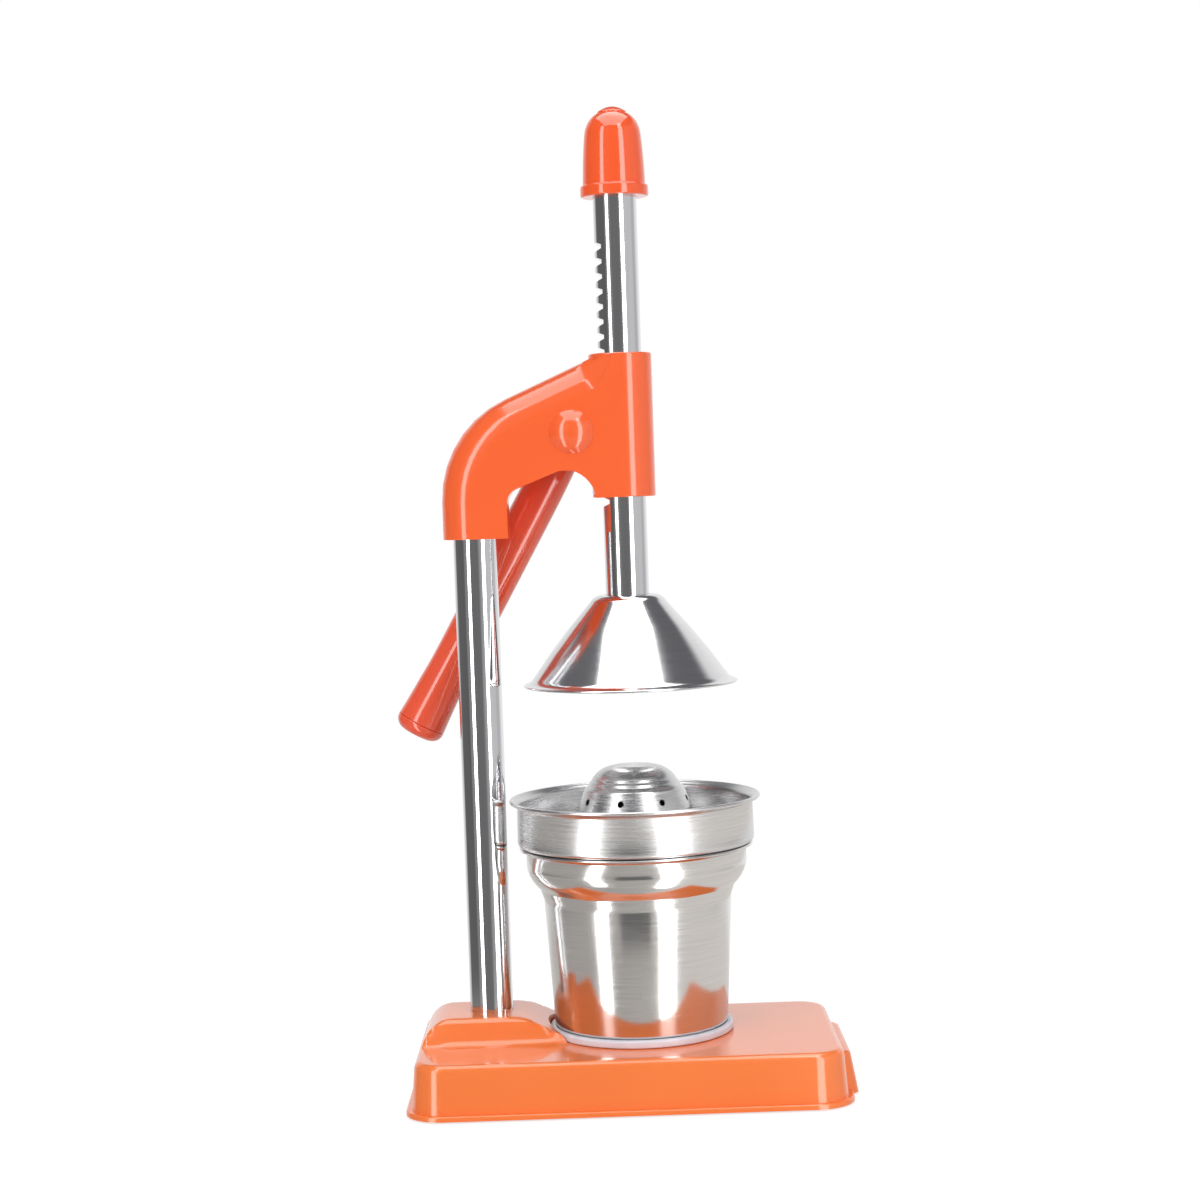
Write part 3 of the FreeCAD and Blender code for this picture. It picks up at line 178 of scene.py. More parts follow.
def bright_plate(name, dark, light, roughness):
    """Chrome plate: almost a mirror, with faint lengthwise polishing marks and specks."""
    made, tree, shader, place = blank_finish(name, Metallic=1.0)
    marks = noise(tree, place, MARK_GRAIN, 3.0, stretch=(1, 1, 0.02))
    specks = noise(tree, place, SPECK_GRAIN, 2.0)
    tree.links.new(tint(tree, spread(tree, marks, 0, 1), dark, light), shader.inputs["Base Color"])
    tree.links.new(spread(tree, specks, roughness * 0.7, roughness * 1.5), shader.inputs["Roughness"])
    dent(tree, shader, marks, 4 * MICRON)
    return made


def plain_stuff(name, dark, light, rough_low, rough_high, grain, depth, metallic=0.0):
    """A moulded, turned or plated surface: fine grain in its colour, its gloss and its relief."""
    made, tree, shader, place = blank_finish(name, Metallic=metallic)
    grains = noise(tree, place, grain, 4.0)
    drift = noise(tree, place, grain / 12, 2.0)
    tree.links.new(tint(tree, spread(tree, drift, 0, 1), dark, light), shader.inputs["Base Color"])
    tree.links.new(spread(tree, grains, rough_low, rough_high), shader.inputs["Roughness"])
    dent(tree, shader, grains, depth)
    return made


finishes = {
    "orange_enamel": glossy_paint("orange_enamel_coat", (0.91, 0.124, 0.026), (0.95, 0.136, 0.032),
                                  roughness=0.16, peel_depth=12 * MICRON),
    # The base's enamel is a yellower copy of the arm's; the extra yellow is painted reflection of the white
    # floor.
    "base_enamel_with_painted_reflection": glossy_paint("base_coat_with_painted_reflection", (0.92, 0.208, 0.046), (0.96, 0.224, 0.053),
                                roughness=0.18, peel_depth=14 * MICRON),
    # The lever's plastic is a darker, slightly pinker copy of the orange plastic; its darkening is painted
    # shade standing in for the arm's shadow on the lever.
    "lever_plastic_with_painted_shade": glossy_paint("lever_gloss_with_painted_shade", (0.84, 0.098, 0.042), (0.88, 0.108, 0.050),
                                  roughness=0.12, peel_depth=5 * MICRON),
    "orange_plastic": glossy_paint("orange_plastic_gloss", (0.90, 0.104, 0.022), (0.94, 0.114, 0.028),
                                   roughness=0.10, peel_depth=4 * MICRON),
    "chrome_plate": bright_plate("chrome_plate_bright", (0.78, 0.78, 0.80), (0.86, 0.86, 0.88),
                                 roughness=0.055),
    "cone_steel": spun_steel("cone_steel_polished", (0.72, 0.72, 0.73), (0.80, 0.80, 0.81),
                             rough_low=0.11, rough_high=0.15, line_depth=2 * MICRON, brushed=0.3),
    "cup_steel": spun_steel("cup_steel_satin", (0.68, 0.675, 0.67), (0.76, 0.755, 0.75),
                            rough_low=0.12, rough_high=0.17, line_depth=2 * MICRON, brushed=0.4),
    "bowl_steel": spun_steel("bowl_steel_satin", (0.66, 0.66, 0.665), (0.75, 0.75, 0.755),
                             rough_low=0.21, rough_high=0.28, line_depth=3 * MICRON, brushed=0.5),
    "ring_plastic": plain_stuff("ring_plastic_satin", (0.68, 0.66, 0.73), (0.78, 0.76, 0.82),
                                rough_low=0.3, rough_high=0.42, grain=900, depth=10 * MICRON),
    "foot_rubber": plain_stuff("foot_rubber_matte", (0.012, 0.012, 0.012), (0.022, 0.021, 0.02),
                               rough_low=0.7, rough_high=0.9, grain=700, depth=60 * MICRON),
    "bush_plastic": plain_stuff("bush_plastic_moulded", (0.70, 0.68, 0.60), (0.78, 0.76, 0.68),
                                rough_low=0.4, rough_high=0.55, grain=600, depth=20 * MICRON),
    "cover_steel": plain_stuff("cover_steel_turned", (0.52, 0.52, 0.53), (0.68, 0.68, 0.69),
                               rough_low=0.26, rough_high=0.4, grain=1100, depth=12 * MICRON, metallic=1.0),
    "bearing_brass": plain_stuff("bearing_brass_turned", (0.66, 0.44, 0.16), (0.80, 0.57, 0.24),
                                 rough_low=0.25, rough_high=0.38, grain=900, depth=10 * MICRON, metallic=1.0),
    "zinc_fastener": plain_stuff("zinc_fastener_plated", (0.56, 0.57, 0.58), (0.74, 0.75, 0.77),
                                 rough_low=0.28, rough_high=0.42, grain=800, depth=10 * MICRON, metallic=1.0),
}
node_slot = {part["node"]: part["material_slot"] for part in frame["record"]["subparts"]}
for node, thing in frame["nodes"].items():
    thing.data.materials.clear()
    thing.data.materials.append(finishes[node_slot[node]])


# Modelling

def outline(start, *moves):
    """A turned piece's half outline, in distance from the axis and height.

    A move of two numbers is a straight run. A third number is an arc's radius: its middle is on the left of
    the way along the outline, or on the right where the radius is negative."""
    points = [start]
    for move in moves:
        r0, z0 = points[-1]
        r1, z1 = move[:2]
        if len(move) == 3:
            across, up = r1 - r0, z1 - z0
            chord = math.hypot(across, up)
            radius = abs(move[2])
            side = math.copysign(math.sqrt(max(radius ** 2 - chord ** 2 / 4, 0)), move[2])
            mid_r = (r0 + r1) / 2 - up / chord * side
            mid_z = (z0 + z1) / 2 + across / chord * side
            first = math.atan2(z0 - mid_z, r0 - mid_r)
            sweep = 2 * math.asin(min(chord / 2 / radius, 1)) * math.copysign(1, move[2])
            steps = max(3, round(abs(sweep) / math.radians(9)))
            points += [(mid_r + radius * math.cos(first + sweep * k / steps),
                        mid_z + radius * math.sin(first + sweep * k / steps)) for k in range(1, steps)]
        points.append((r1, z1))
    return points


def edit():
    bpy.ops.object.mode_set(mode="EDIT")


def leave():
    bpy.ops.object.mode_set(mode="OBJECT")


def name_piece(name):
    piece = bpy.context.object
    piece.name = piece.data.name = name
    return piece


def choose(piece, kind, test):
    """Selects the faces or edges of the piece in edit mode that pass the test."""
    bpy.ops.mesh.select_mode(type={"faces": "FACE", "edges": "EDGE"}[kind])
    bpy.ops.mesh.select_all(action="DESELECT")
    shape = bmesh.from_edit_mesh(piece.data)
    for element in getattr(shape, kind):
        if test(element):
            element.select_set(True)
    shape.select_flush_mode()
    bmesh.update_edit_mesh(piece.data)


def chain(name, points):
    """Draws a line of edges through points in space and leaves it in edit mode, all selected."""
    bpy.ops.object.select_all(action="DESELECT")
    bpy.ops.mesh.primitive_plane_add(size=MM)
    piece = name_piece(name)
    edit()
    bpy.ops.mesh.select_mode(type="VERT")
    bpy.ops.mesh.select_all(action="SELECT")
    bpy.ops.mesh.merge(type="CENTER")
    bpy.ops.transform.translate(value=Vector(points[0]))
    for before, after in zip(points, points[1:]):
        bpy.ops.mesh.extrude_vertices_move(TRANSFORM_OT_translate={"value": Vector(after) - Vector(before)})
    bpy.ops.mesh.select_all(action="SELECT")
    return piece


def close_up(piece):
    """Merges the seams of the piece in edit mode, points its faces outwards and leaves edit mode."""
    bpy.ops.mesh.select_all(action="SELECT")
    bpy.ops.mesh.remove_doubles(threshold=2 * MICRON)
    bpy.ops.mesh.normals_make_consistent(inside=False)
    leave()


def turned(name, points, steps=128, closed=False):
    """Spins a half outline round the Z axis. A closed outline goes back to its first point."""
    if closed:
        points = points + [points[0]]
    piece = chain(name, [(r * MM, 0, z * MM) for r, z in points])
    bpy.ops.mesh.spin(steps=steps, angle=math.tau, center=(0, 0, 0), axis=(0, 0, 1))
    close_up(piece)
    return piece


def settle(piece, place=None):
    """Moves a piece to its place and leaves its object at the origin, unturned and unscaled."""
    if place is not None:
        piece.matrix_world = place @ piece.matrix_world
    bpy.ops.object.select_all(action="DESELECT")
    piece.select_set(True)
    bpy.context.view_layer.objects.active = piece
    bpy.ops.object.transform_apply(location=True, rotation=True, scale=True)


def shift(x=0, y=0, z=0):
    return Matrix.Translation((x * MM, y * MM, z * MM))


def turn(angle, axis):
    return Matrix.Rotation(angle, 4, axis)


def apply_modifier(piece, kind, **settings):
    bpy.context.view_layer.objects.active = piece
    added = piece.modifiers.new(kind.lower(), kind)
    for setting, value in settings.items():
        setattr(added, setting, value)
    bpy.ops.object.modifier_apply(modifier=added.name)


def combine(piece, tool, way):
    """Joins a tool piece to the piece, or cuts it out, and throws the tool away."""
    apply_modifier(piece, "BOOLEAN", object=tool, operation=way, solver="EXACT")
    bpy.data.objects.remove(tool)


def bore_out(piece, name, points, place, steps=96):
    """Cuts a turned shape out of the piece."""
    cutter = turned(name, points, steps=steps)
    settle(cutter, place)
    combine(piece, cutter, "DIFFERENCE")


def finish_piece(piece, body, slot, replaced, smooth=32, coat=None):
    """Shades a piece, gives it its finish and body, and hides the node that it stands for.

    A coat is the finish of a piece that doesn't look quite like the rest of its slot."""
    settle(piece)
    bpy.ops.object.shade_smooth_by_angle(angle=math.radians(smooth))
    piece.data.materials.clear()
    piece.data.materials.append(finishes[coat or slot])
    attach(piece, body)
    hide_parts(replaced)


ON_PRESS = shift(PRESS_X, PRESS_Y)
ON_COLUMN = shift(COLUMN_X, PRESS_Y)


# Cup, bowl, reamer and cone

cup = turned("juice_cup_spun", outline(
    (0, 25.72), (35.6, 25.72), (38.1, 28.12, 3.1), (41.1, 81.6), (41.35, 83.3, -6), (42.6, 87.0),
    (43.0, 87.9, -2), (48.1, 96.2, 16), (48.3, 97.6, 8), (48.3, 103.5), (50.7, 104.75, -2.6),
    (51.3, 105.3, 0.8), (50.7, 105.9, 0.8), (48.6, 105.7), (47.5, 104.4, 2.2), (47.5, 97.6),
    (42.0, 88.3, -15.2), (40.4, 82.9), (37.3, 28.4), (35.4, 26.52, -2.4), (0, 26.52)), steps=160)
settle(cup, ON_PRESS)
finish_piece(cup, "cup", "cup_steel", "juice_cup", smooth=40)

ring = turned("cup_foot_ring_moulded", outline(
    (26, 23.6), (26.4, 23.5), (39.4, 23.5), (40.4, 24.5, 1.0), (40.4, 25.9), (39.6, 26.8, 0.9), (38.2, 27.0),
    (37.7, 26.4, 0.6), (37.0, 25.9), (36.5, 25.66, -0.6), (26.4, 25.66), (26, 25.3)), closed=True)
settle(ring, ON_PRESS)
finish_piece(ring, "cup", "ring_plastic", "cup_foot_ring")

bowl = turned("strainer_bowl_spun", outline(
    (22, 103.0), (46.2, 103.0), (46.9, 103.7, 0.7), (46.9, 105.4), (47.5, 106, -0.6), (49.6, 106),
    (52.0, 108.4, 2.5), (51.7, 123.4), (54.2, 125.2, -3.4), (55.05, 126.0, 1.0), (54.3, 126.9, 0.85),
    (53.4, 126.6, 0.85), (50.9, 123.7, 4.2), (51.2, 108.5), (49.6, 106.8, -1.7), (46.8, 106.8),
    (46.1, 106.1, -0.7), (46.1, 104.2), (45.7, 103.8, -0.4), (22, 103.8)), steps=160, closed=True)
settle(bowl, ON_PRESS)
DRAIN_COUNT, DRAIN_CIRCLE, DRAIN_RADIUS, DRAIN_Z = 24, 38.5, 1.6, 103.4
drains = []
for step in range(DRAIN_COUNT):
    angle = math.tau * step / DRAIN_COUNT
    x = PRESS_X + DRAIN_CIRCLE * math.cos(angle)
    y = PRESS_Y + DRAIN_CIRCLE * math.sin(angle)
    bpy.ops.mesh.primitive_cylinder_add(vertices=20, radius=DRAIN_RADIUS * MM, depth=4 * MM,
                                        location=(x * MM, y * MM, DRAIN_Z * MM))
    drains.append(name_piece("drain_punch"))
bpy.ops.object.select_all(action="DESELECT")
for drain in drains:
    drain.select_set(True)
bpy.context.view_layer.objects.active = drains[0]
bpy.ops.object.join()
combine(bowl, bpy.context.object, "DIFFERENCE")
finish_piece(bowl, "bowl", "bowl_steel", "strainer_bowl", smooth=40)

reamer = turned("reamer_dome_pressed", outline(
    (32, 103.9), (32, 104.62), (28.6, 104.62), (27.9, 105.3, -0.7), (25.6, 120.8), (25.2, 122.3, 6),
    (22.6, 128.6), (22.1, 129.7, -6), (21.4, 131.1, 3), (19.4, 133.2, -4), (18.6, 134.2, 3),
    (17.9, 135.5, -8), (9.6, 140.3, 12.5), (8.6, 140.5, 3), (0, 140.6), (0, 139.8), (8.6, 139.7),
    (9.3, 139.5, -2), (17.2, 135.1, -11.5), (18.7, 132.7), (21.6, 129.3), (24.5, 121.6), (27.1, 104.8),
    (27.9, 103.85)), steps=160, closed=True)
settle(reamer, ON_PRESS)
HOLE_COUNT, HOLE_RADIUS, HOLE_Z = 8, 1.4, 126
FIRST_HOLE = -15.6
for step in range(HOLE_COUNT):
    bearing = math.radians(360 / HOLE_COUNT * step + FIRST_HOLE)
    bore_out(reamer, "juice_hole", [(0, 12), (HOLE_RADIUS, 12), (HOLE_RADIUS, 34), (0, 34)],
             ON_PRESS @ shift(z=HOLE_Z) @ turn(bearing, "Z") @ turn(math.pi / 2, "X"), steps=20)
finish_piece(reamer, "bowl", "bowl_steel", "reamer_dome", smooth=40)

cone = turned("presser_cone_spun", outline(
    (4.1, 215.4), (12.0, 215.48), (16.9, 212.08, -6.5), (42.6, 179.7, -300), (46.2, 177.25, 5.5),
    (46.9, 176.7, -0.7), (46.3, 176.18, -0.7), (45.6, 176.35), (41.9, 178.8, -4.6), (16.0, 211.4, 299),
    (12.0, 214.5, 5.5), (4.1, 214.5)), steps=192, closed=True)
settle(cone, ON_PRESS)
finish_piece(cone, "plunger", "cone_steel", "presser_cone", smooth=40)


# Column and cap

column = turned("column_tube_plated",
                [(8.4, 12), (9.2, 12), (9.5, 12.3), (9.5, 269.7), (9.2, 270), (8.4, 270)],
                steps=192, closed=True)
settle(column, ON_COLUMN)
finish_piece(column, "stand", "chrome_plate", "column_tube")

cap = turned("plunger_cap_moulded", outline(
    (9.6, 388.3), (14.0, 388.3), (14.8, 389.1, 0.8), (14.8, 392.3), (13.9, 393.3, 1.0), (13.62, 393.6, -0.3),
    (13.45, 398.5), (13.1, 405.7, 400), (12.55, 412.9, 200), (12.1, 416.6, 40), (10.8, 420.2, 13),
    (9.6, 422.0, 12), (7.5, 423.9, 12), (6.75, 424.3, 3), (6.6, 424.2, 0.2), (6.6, 423.2), (0, 423.2),
    (0, 409.0), (9.6, 409.0)), closed=True)
settle(cap, ON_PRESS)
finish_piece(cap, "plunger", "orange_plastic", "plunger_cap")

button = turned("cap_button_moulded", outline(
    (0, 423.3), (6.4, 423.3), (6.4, 424.5), (6.0, 425.3, 1.0), (0, 427.5, 12)))
settle(button, ON_PRESS)
finish_piece(button, "plunger", "orange_plastic", "cap_button")


# Lever

ALONG_LEVER = shift(PIVOT_X, GRIP_Y, PIVOT_Z) @ turn(LEVER_TURN, "Y") @ turn(math.pi, "X")
lever = turned("lever_handle_moulded", outline(
    (0, 0), (8.4, 0), (8.5, 6), (9.4, 38, 500), (9.4, 110), (10.0, 128, -260), (11.0, 145.9, -400),
    (10.8, 146.2, 0.3), (0, 146.2)), steps=96)
settle(lever, ALONG_LEVER)
ALONG_SHAFT = shift(PIVOT_X, 0, PIVOT_Z) @ turn(-math.pi / 2, "X")
hub = turned("lever_hub", outline(
    (0, 18.75), (11.5, 18.75), (12.0, 19.25, 0.5), (12.0, 36.8), (10.2, 38.6, 1.8), (6.3, 38.6),
    (5.8, 38.1, -0.5), (5.8, 34.2), (0, 34.2)), steps=96)
settle(hub, ALONG_SHAFT)
combine(lever, hub, "UNION")
# The lever's coat is the orange plastic darkened by painted shade for the arm's shadow.
finish_piece(lever, "lever", "orange_plastic", "lever_handle", coat="lever_plastic_with_painted_shade")

end_cap = turned("lever_end_cap_moulded", outline(
    (0, 146.35), (10.85, 146.35), (11.1, 146.65, 0.3), (10.9, 148.2, 20), (5.6, 151.9, 5.0), (0, 152.0, 40)),
    steps=96)
settle(end_cap, ALONG_LEVER)
# The end cap takes the same coat, with its painted shade.
finish_piece(end_cap, "lever", "orange_plastic", "lever_end_cap", coat="lever_plastic_with_painted_shade")


# Base

BASE_Y = -2.0
BASE_LOW, FLANGE_TOP = 0.8, 3.0
LUG_TOP = 18.4

# The deck's rounded edge begins just below this height, and the hill ends at the left of this place.
ROUNDED_FROM_Z = 20.41
HILL_REACH_X = -6

# The hill round the column's foot. Along X it has a round left end, a flat crest and a long slope to the cup.
# To the front and the back alike it has a rounded shoulder and a steep flank.
HILL_TOP = 34.6
END_X, END_MIDDLE_X, END_RADIUS = -89.48, -75.5, 14
CREST_X, CREST_RADIUS = -52.5, 31.4
SLOPE_X, SLOPE_DROP, SLOPE_FALL = -37.5, 3.8, 0.543
SHOULDER_SIDE, SHOULDER_RADIUS = 16, 4.5
FLANK_SIDE, FLANK_DROP, FLANK_FALL = 20.2, 2.9, 2.6
RIDGE_BLEND = 1.2

# The hill's foot meets the deck sharply at the left end and more softly from 8 mm further on.
END_BLEND, SIDE_BLEND = 3.2, 7.0
SOFTER_FROM_X, SOFTER_OVER = -84, 8


def plate(name, x, y, half_x, half_y, z, corner):
    """A flat plate with rounded corners, left in edit mode as one selected face."""
    bpy.ops.object.select_all(action="DESELECT")
    bpy.ops.mesh.primitive_plane_add(size=2 * MM)
    piece = name_piece(name)
    piece.scale = (half_x, half_y, 1)
    piece.location = (x * MM, y * MM, z * MM)
    bpy.ops.object.transform_apply(location=True, rotation=True, scale=True)
    edit()
    bpy.ops.mesh.select_all(action="SELECT")
    bpy.ops.mesh.bevel(offset=corner * MM, segments=12, affect="VERTICES")
    bpy.ops.mesh.select_all(action="SELECT")
    return piece


def raise_face(up, along=0.0, narrow=(1, 1)):
    """Draws the selected face up, and shifts and narrows its new end."""
    bpy.ops.mesh.extrude_region_move(TRANSFORM_OT_translate={"value": (along * MM, 0, up * MM)})
    bpy.ops.transform.resize(value=(narrow[0], narrow[1], 1))


def at_height(z):
    """A test for faces or edges that lie level at this height."""
    return lambda element: all(abs(point.co.z - z * MM) < 20 * MICRON for point in element.verts)


def soften(piece, test, radius, segments):
    """Rounds the edges that pass the test."""
    choose(piece, "edges", test)
    bpy.ops.mesh.bevel(offset=radius * MM, segments=segments, profile=0.5, affect="EDGES",
                       clamp_overlap=False)


def soft_top(first, second, reach):
    """The higher of two heights, blended where they are near each other."""
    share = min(max(0.5 + 0.5 * (first - second) / reach, 0), 1)
    return second + (first - second) * share + reach * share * (1 - share)


def hill_height(x, y):
    """How high the hill round the column's foot stands here. Left of the hill it is far below the deck."""
    if x < END_X:
        return 0.0
    if x < END_MIDDLE_X:
        along = HILL_TOP - END_RADIUS + math.sqrt(max(END_RADIUS ** 2 - (x - END_MIDDLE_X) ** 2, 0))
    elif x < CREST_X:
        along = HILL_TOP
    elif x < SLOPE_X:
        along = HILL_TOP - CREST_RADIUS + math.sqrt(CREST_RADIUS ** 2 - (x - CREST_X) ** 2)
    else:
        along = HILL_TOP - SLOPE_DROP - SLOPE_FALL * (x - SLOPE_X)
    side = abs(y - PRESS_Y)
    if side < SHOULDER_SIDE:
        across = HILL_TOP
    elif side < FLANK_SIDE:
        across = HILL_TOP - SHOULDER_RADIUS + math.sqrt(SHOULDER_RADIUS ** 2 - (side - SHOULDER_SIDE) ** 2)
    else:
        across = HILL_TOP - FLANK_DROP - FLANK_FALL * (side - FLANK_SIDE)
    return -soft_top(-along, -across, RIDGE_BLEND)


def on_flange_rim(edge):
    """The upper edge of the foot flange's low wall."""
    def is_low_wall(face):
        return (not at_height(BASE_LOW)(face) and face.normal.z < 0.5
                and face.calc_center_median().z < FLANGE_TOP * MM - 100 * MICRON)
    return at_height(FLANGE_TOP)(edge) and any(is_low_wall(face) for face in edge.link_faces)


def on_deck(face):
    """A face of the deck or its rounded edge."""
    return face.calc_center_median().z > ROUNDED_FROM_Z * MM and face.normal.z > 0.01


def on_hill_side(face):
    """A face of the deck's left part, where the hill stands."""
    return on_deck(face) and face.calc_center_median().x < HILL_REACH_X * MM


base = plate("base_shell_cast", x=0, y=BASE_Y, half_x=95, half_y=57, z=BASE_LOW, corner=17)
raise_face(FLANGE_TOP - BASE_LOW)
bpy.ops.mesh.inset(thickness=2.5 * MM)
bpy.ops.mesh.inset(thickness=1.7 * MM, depth=(DECK_Z - FLANGE_TOP) * MM)
soften(base, at_height(DECK_Z), radius=3.0, segments=8)
choose(base, "edges", on_flange_rim)
bpy.ops.mesh.bevel(offset=0.9 * MM, segments=4, affect="EDGES")

# The deck is cut into a fine grid, finest at the hill's left end, and its points are drawn up to the hill.
lines_x = [-90.7 + 0.35 * k for k in range(12)] + [-86 + 1.5 * k for k in range(54)]
lines_y = [-34 + 1.5 * k for k in range(50)]
for line in lines_x:
    choose(base, "faces", on_deck)
    bpy.ops.mesh.bisect(plane_co=(line * MM, 0, 0), plane_no=(1, 0, 0))
for line in lines_y:
    choose(base, "faces", on_hill_side)
    bpy.ops.mesh.bisect(plane_co=(0, line * MM, 0), plane_no=(0, 1, 0))
shape = bmesh.from_edit_mesh(base.data)
for point in shape.verts:
    x, y, z = point.co / MM
    if z > ROUNDED_FROM_Z and x < HILL_REACH_X:
        softer = min(max((x - SOFTER_FROM_X) / SOFTER_OVER, 0), 1)
        foot_blend = END_BLEND + (SIDE_BLEND - END_BLEND) * softer
        point.co.z = soft_top(z, hill_height(x, y), foot_blend) * MM
bmesh.update_edit_mesh(base.data)
close_up(base)

lug = plate("base_lug", x=81, y=BASE_Y, half_x=17, half_y=33, z=BASE_LOW, corner=6)
raise_face(LUG_TOP - BASE_LOW, along=-3, narrow=(1, 30 / 33))
soften(lug, at_height(LUG_TOP), radius=1.5, segments=5)
close_up(lug)
combine(base, lug, "UNION")

hollow = plate("base_hollow", x=0, y=BASE_Y, half_x=89.8, half_y=51.8, z=-1, corner=12)
raise_face(21.4, narrow=(87.8 / 89.8, 49.8 / 51.8))
close_up(hollow)
room = plate("hill_hollow", x=COLUMN_X, y=PRESS_Y, half_x=18.75, half_y=20.5, z=15, corner=5)
raise_face(16.2, narrow=(0.86, 0.86))
close_up(room)
combine(hollow, room, "UNION")
combine(base, hollow, "DIFFERENCE")
bore_out(base, "cup_seat", [(0, 23.5), (41.1, 23.5), (41.9, 60), (0, 60)], ON_PRESS, steps=160)
socket = turned("column_socket",
                [(4.05, 8.5), (13.25, 8.5), (13.75, 9), (13.75, 32.6), (9.55, 32.6), (9.55, 12), (4.05, 12)],
                steps=96, closed=True)
settle(socket, ON_COLUMN)
combine(base, socket, "UNION")
bore_out(base, "column_bore", [(0, 29), (9.6, 29), (9.6, 40), (0, 40)], ON_COLUMN)
FOOT_X, FOOT_Y = (-80, 80), (-44, 40)
for x in FOOT_X:
    for y in FOOT_Y:
        post = turned("foot_post", [(0, 2.6), (7.3, 2.6), (7.7, 3.0), (7.7, 21.9), (0, 21.9)], steps=48)
        settle(post, shift(x, y))
        combine(base, post, "UNION")
# The base's coat is the arm's enamel made yellower by painted reflection of the floor.
finish_piece(base, "stand", "orange_enamel", "base_shell", smooth=35, coat="base_enamel_with_painted_reflection")
apply_modifier(base, "WEIGHTED_NORMAL", keep_sharp=True, weight=50)


# Arm

ARM_FRONT, ARM_BACK = -9.75, 17.75
ARM_FOOT, SLEEVE_FOOT = 242, 258.2


def stepped(points, step):
    """Puts more points along the long straight runs of an outline."""
    finer = [points[0]]
    for before, after in zip(points, points[1:]):
        parts = max(1, round(math.dist(before, after) / step))
        across, up = after[0] - before[0], after[1] - before[1]
        finer += [(before[0] + across * k / parts, before[1] + up * k / parts) for k in range(1, parts + 1)]
    return finer


outer_way = stepped(outline((-73.25, ARM_FOOT), (-73.25, 258.3), (-44.39, 302.32, -48), (-10, 317.27)), 4.0)
outer_way.append((PRESS_X, 324.45))
inner_way = outline((PRESS_X, SLEEVE_FOOT), (-5.8, SLEEVE_FOOT), (-16.3, 270.4, 14.5), (-21.5, 270.4),
                    (-40.0, 263.3), (-44.5, 256.8, 7), (-44.5, ARM_FOOT), (-73.25, ARM_FOOT))
arm = chain("arm_housing_cast", [(x * MM, ARM_FRONT * MM, z * MM) for x, z in outer_way + inner_way])
bpy.ops.mesh.remove_doubles(threshold=2 * MICRON)
bpy.ops.mesh.edge_face_add()
bpy.ops.mesh.extrude_region_move(TRANSFORM_OT_translate={"value": (0, (ARM_BACK - ARM_FRONT) * MM, 0)})
bpy.ops.mesh.select_all(action="SELECT")
bpy.ops.mesh.normals_make_consistent(inside=False)


def on_outer_way(edge):
    """An edge, front or back, along the arm's outer side, but not in its last long run into the sleeve."""
    near, far = (point.co / MM for point in edge.verts)
    if abs(near.y - far.y) > 0.1 or abs(near.z - far.z) + abs(near.x - far.x) >= 20:
        return False
    return all(any(math.dist((end.x, end.z), way) < 0.01 for way in outer_way) for end in (near, far))


soften(arm, on_outer_way, radius=13.6, segments=14)
close_up(arm)
bore_out(arm, "top_trim", [(0, 319.9), (60, 319.9), (60, 340), (0, 340)], ON_PRESS)
sleeve = turned("arm_sleeve", outline(
    (0, SLEEVE_FOOT), (13.2, SLEEVE_FOOT), (13.75, 258.75, 0.55), (13.75, 319.8), (12.95, 320.6, 0.8),
    (0, 320.6)))
settle(sleeve, ON_PRESS)
combine(arm, sleeve, "UNION")
FACING_FRONT = shift(PIVOT_X, 0, PIVOT_Z) @ turn(math.pi / 2, "X")
dome = turned("arm_dome", outline((0, 5), (9.5, 5), (9.5, 9.9), (0, 14.42, 12.2)), steps=96)
settle(dome, FACING_FRONT)
combine(arm, dome, "UNION")
bore_out(arm, "guide_bore", [(0, 250), (9.7, 250), (9.7, 258.8), (11.52, 258.8), (11.52, 318.6), (9.7, 318.6),
                             (9.7, 330), (0, 330)], ON_PRESS)
bore_out(arm, "sleeve_bore", [(0, 240), (9.55, 240), (9.55, 270.05), (0, 270.05)], ON_COLUMN)
bore_out(arm, "gear_chamber",
         [(0, -8.7), (7.57, -8.7), (7.57, -2.5), (15.45, -2.5), (15.45, 20), (0, 20)], ALONG_SHAFT)
LOCK_Z = 253
bore_out(arm, "lock_hole", [(0, 9), (3.02, 9), (3.02, 20), (0, 20)],
         shift(COLUMN_X, 0, LOCK_Z) @ turn(-math.pi / 2, "X"), steps=40)
finish_piece(arm, "stand", "orange_enamel", "arm_housing", smooth=33)
apply_modifier(arm, "WEIGHTED_NORMAL", keep_sharp=True, weight=50)


# Floor, world and lamps

bpy.ops.mesh.primitive_plane_add(size=6, location=(0, 0, 0))
floor = name_piece("pale_floor")
paper = bpy.data.materials.new("floor_paper")
paper.use_nodes = True
tree = paper.node_tree
tree.nodes.clear()
seen = tree.nodes.new("ShaderNodeLightPath")
place = wire(tree, "TexCoord", {}, out="Object")
reach = wire(tree, "VectorMath", {0: place}, out="Value", operation="LENGTH")
NEAR_REACH, FAR_REACH = 0.22, 0.55
near = wire(tree, "MapRange", {"Value": reach, "From Min": NEAR_REACH, "From Max": FAR_REACH,
                               "To Min": 1.0, "To Max": 0.0})
grain = noise(tree, place, PAPER_GRAIN, 3.0)
paper_colour = tint(tree, spread(tree, grain, 0, 1), (0.80, 0.80, 0.80), (0.83, 0.83, 0.83))
plain_paper = wire(tree, "BsdfDiffuse", {"Color": paper_colour})

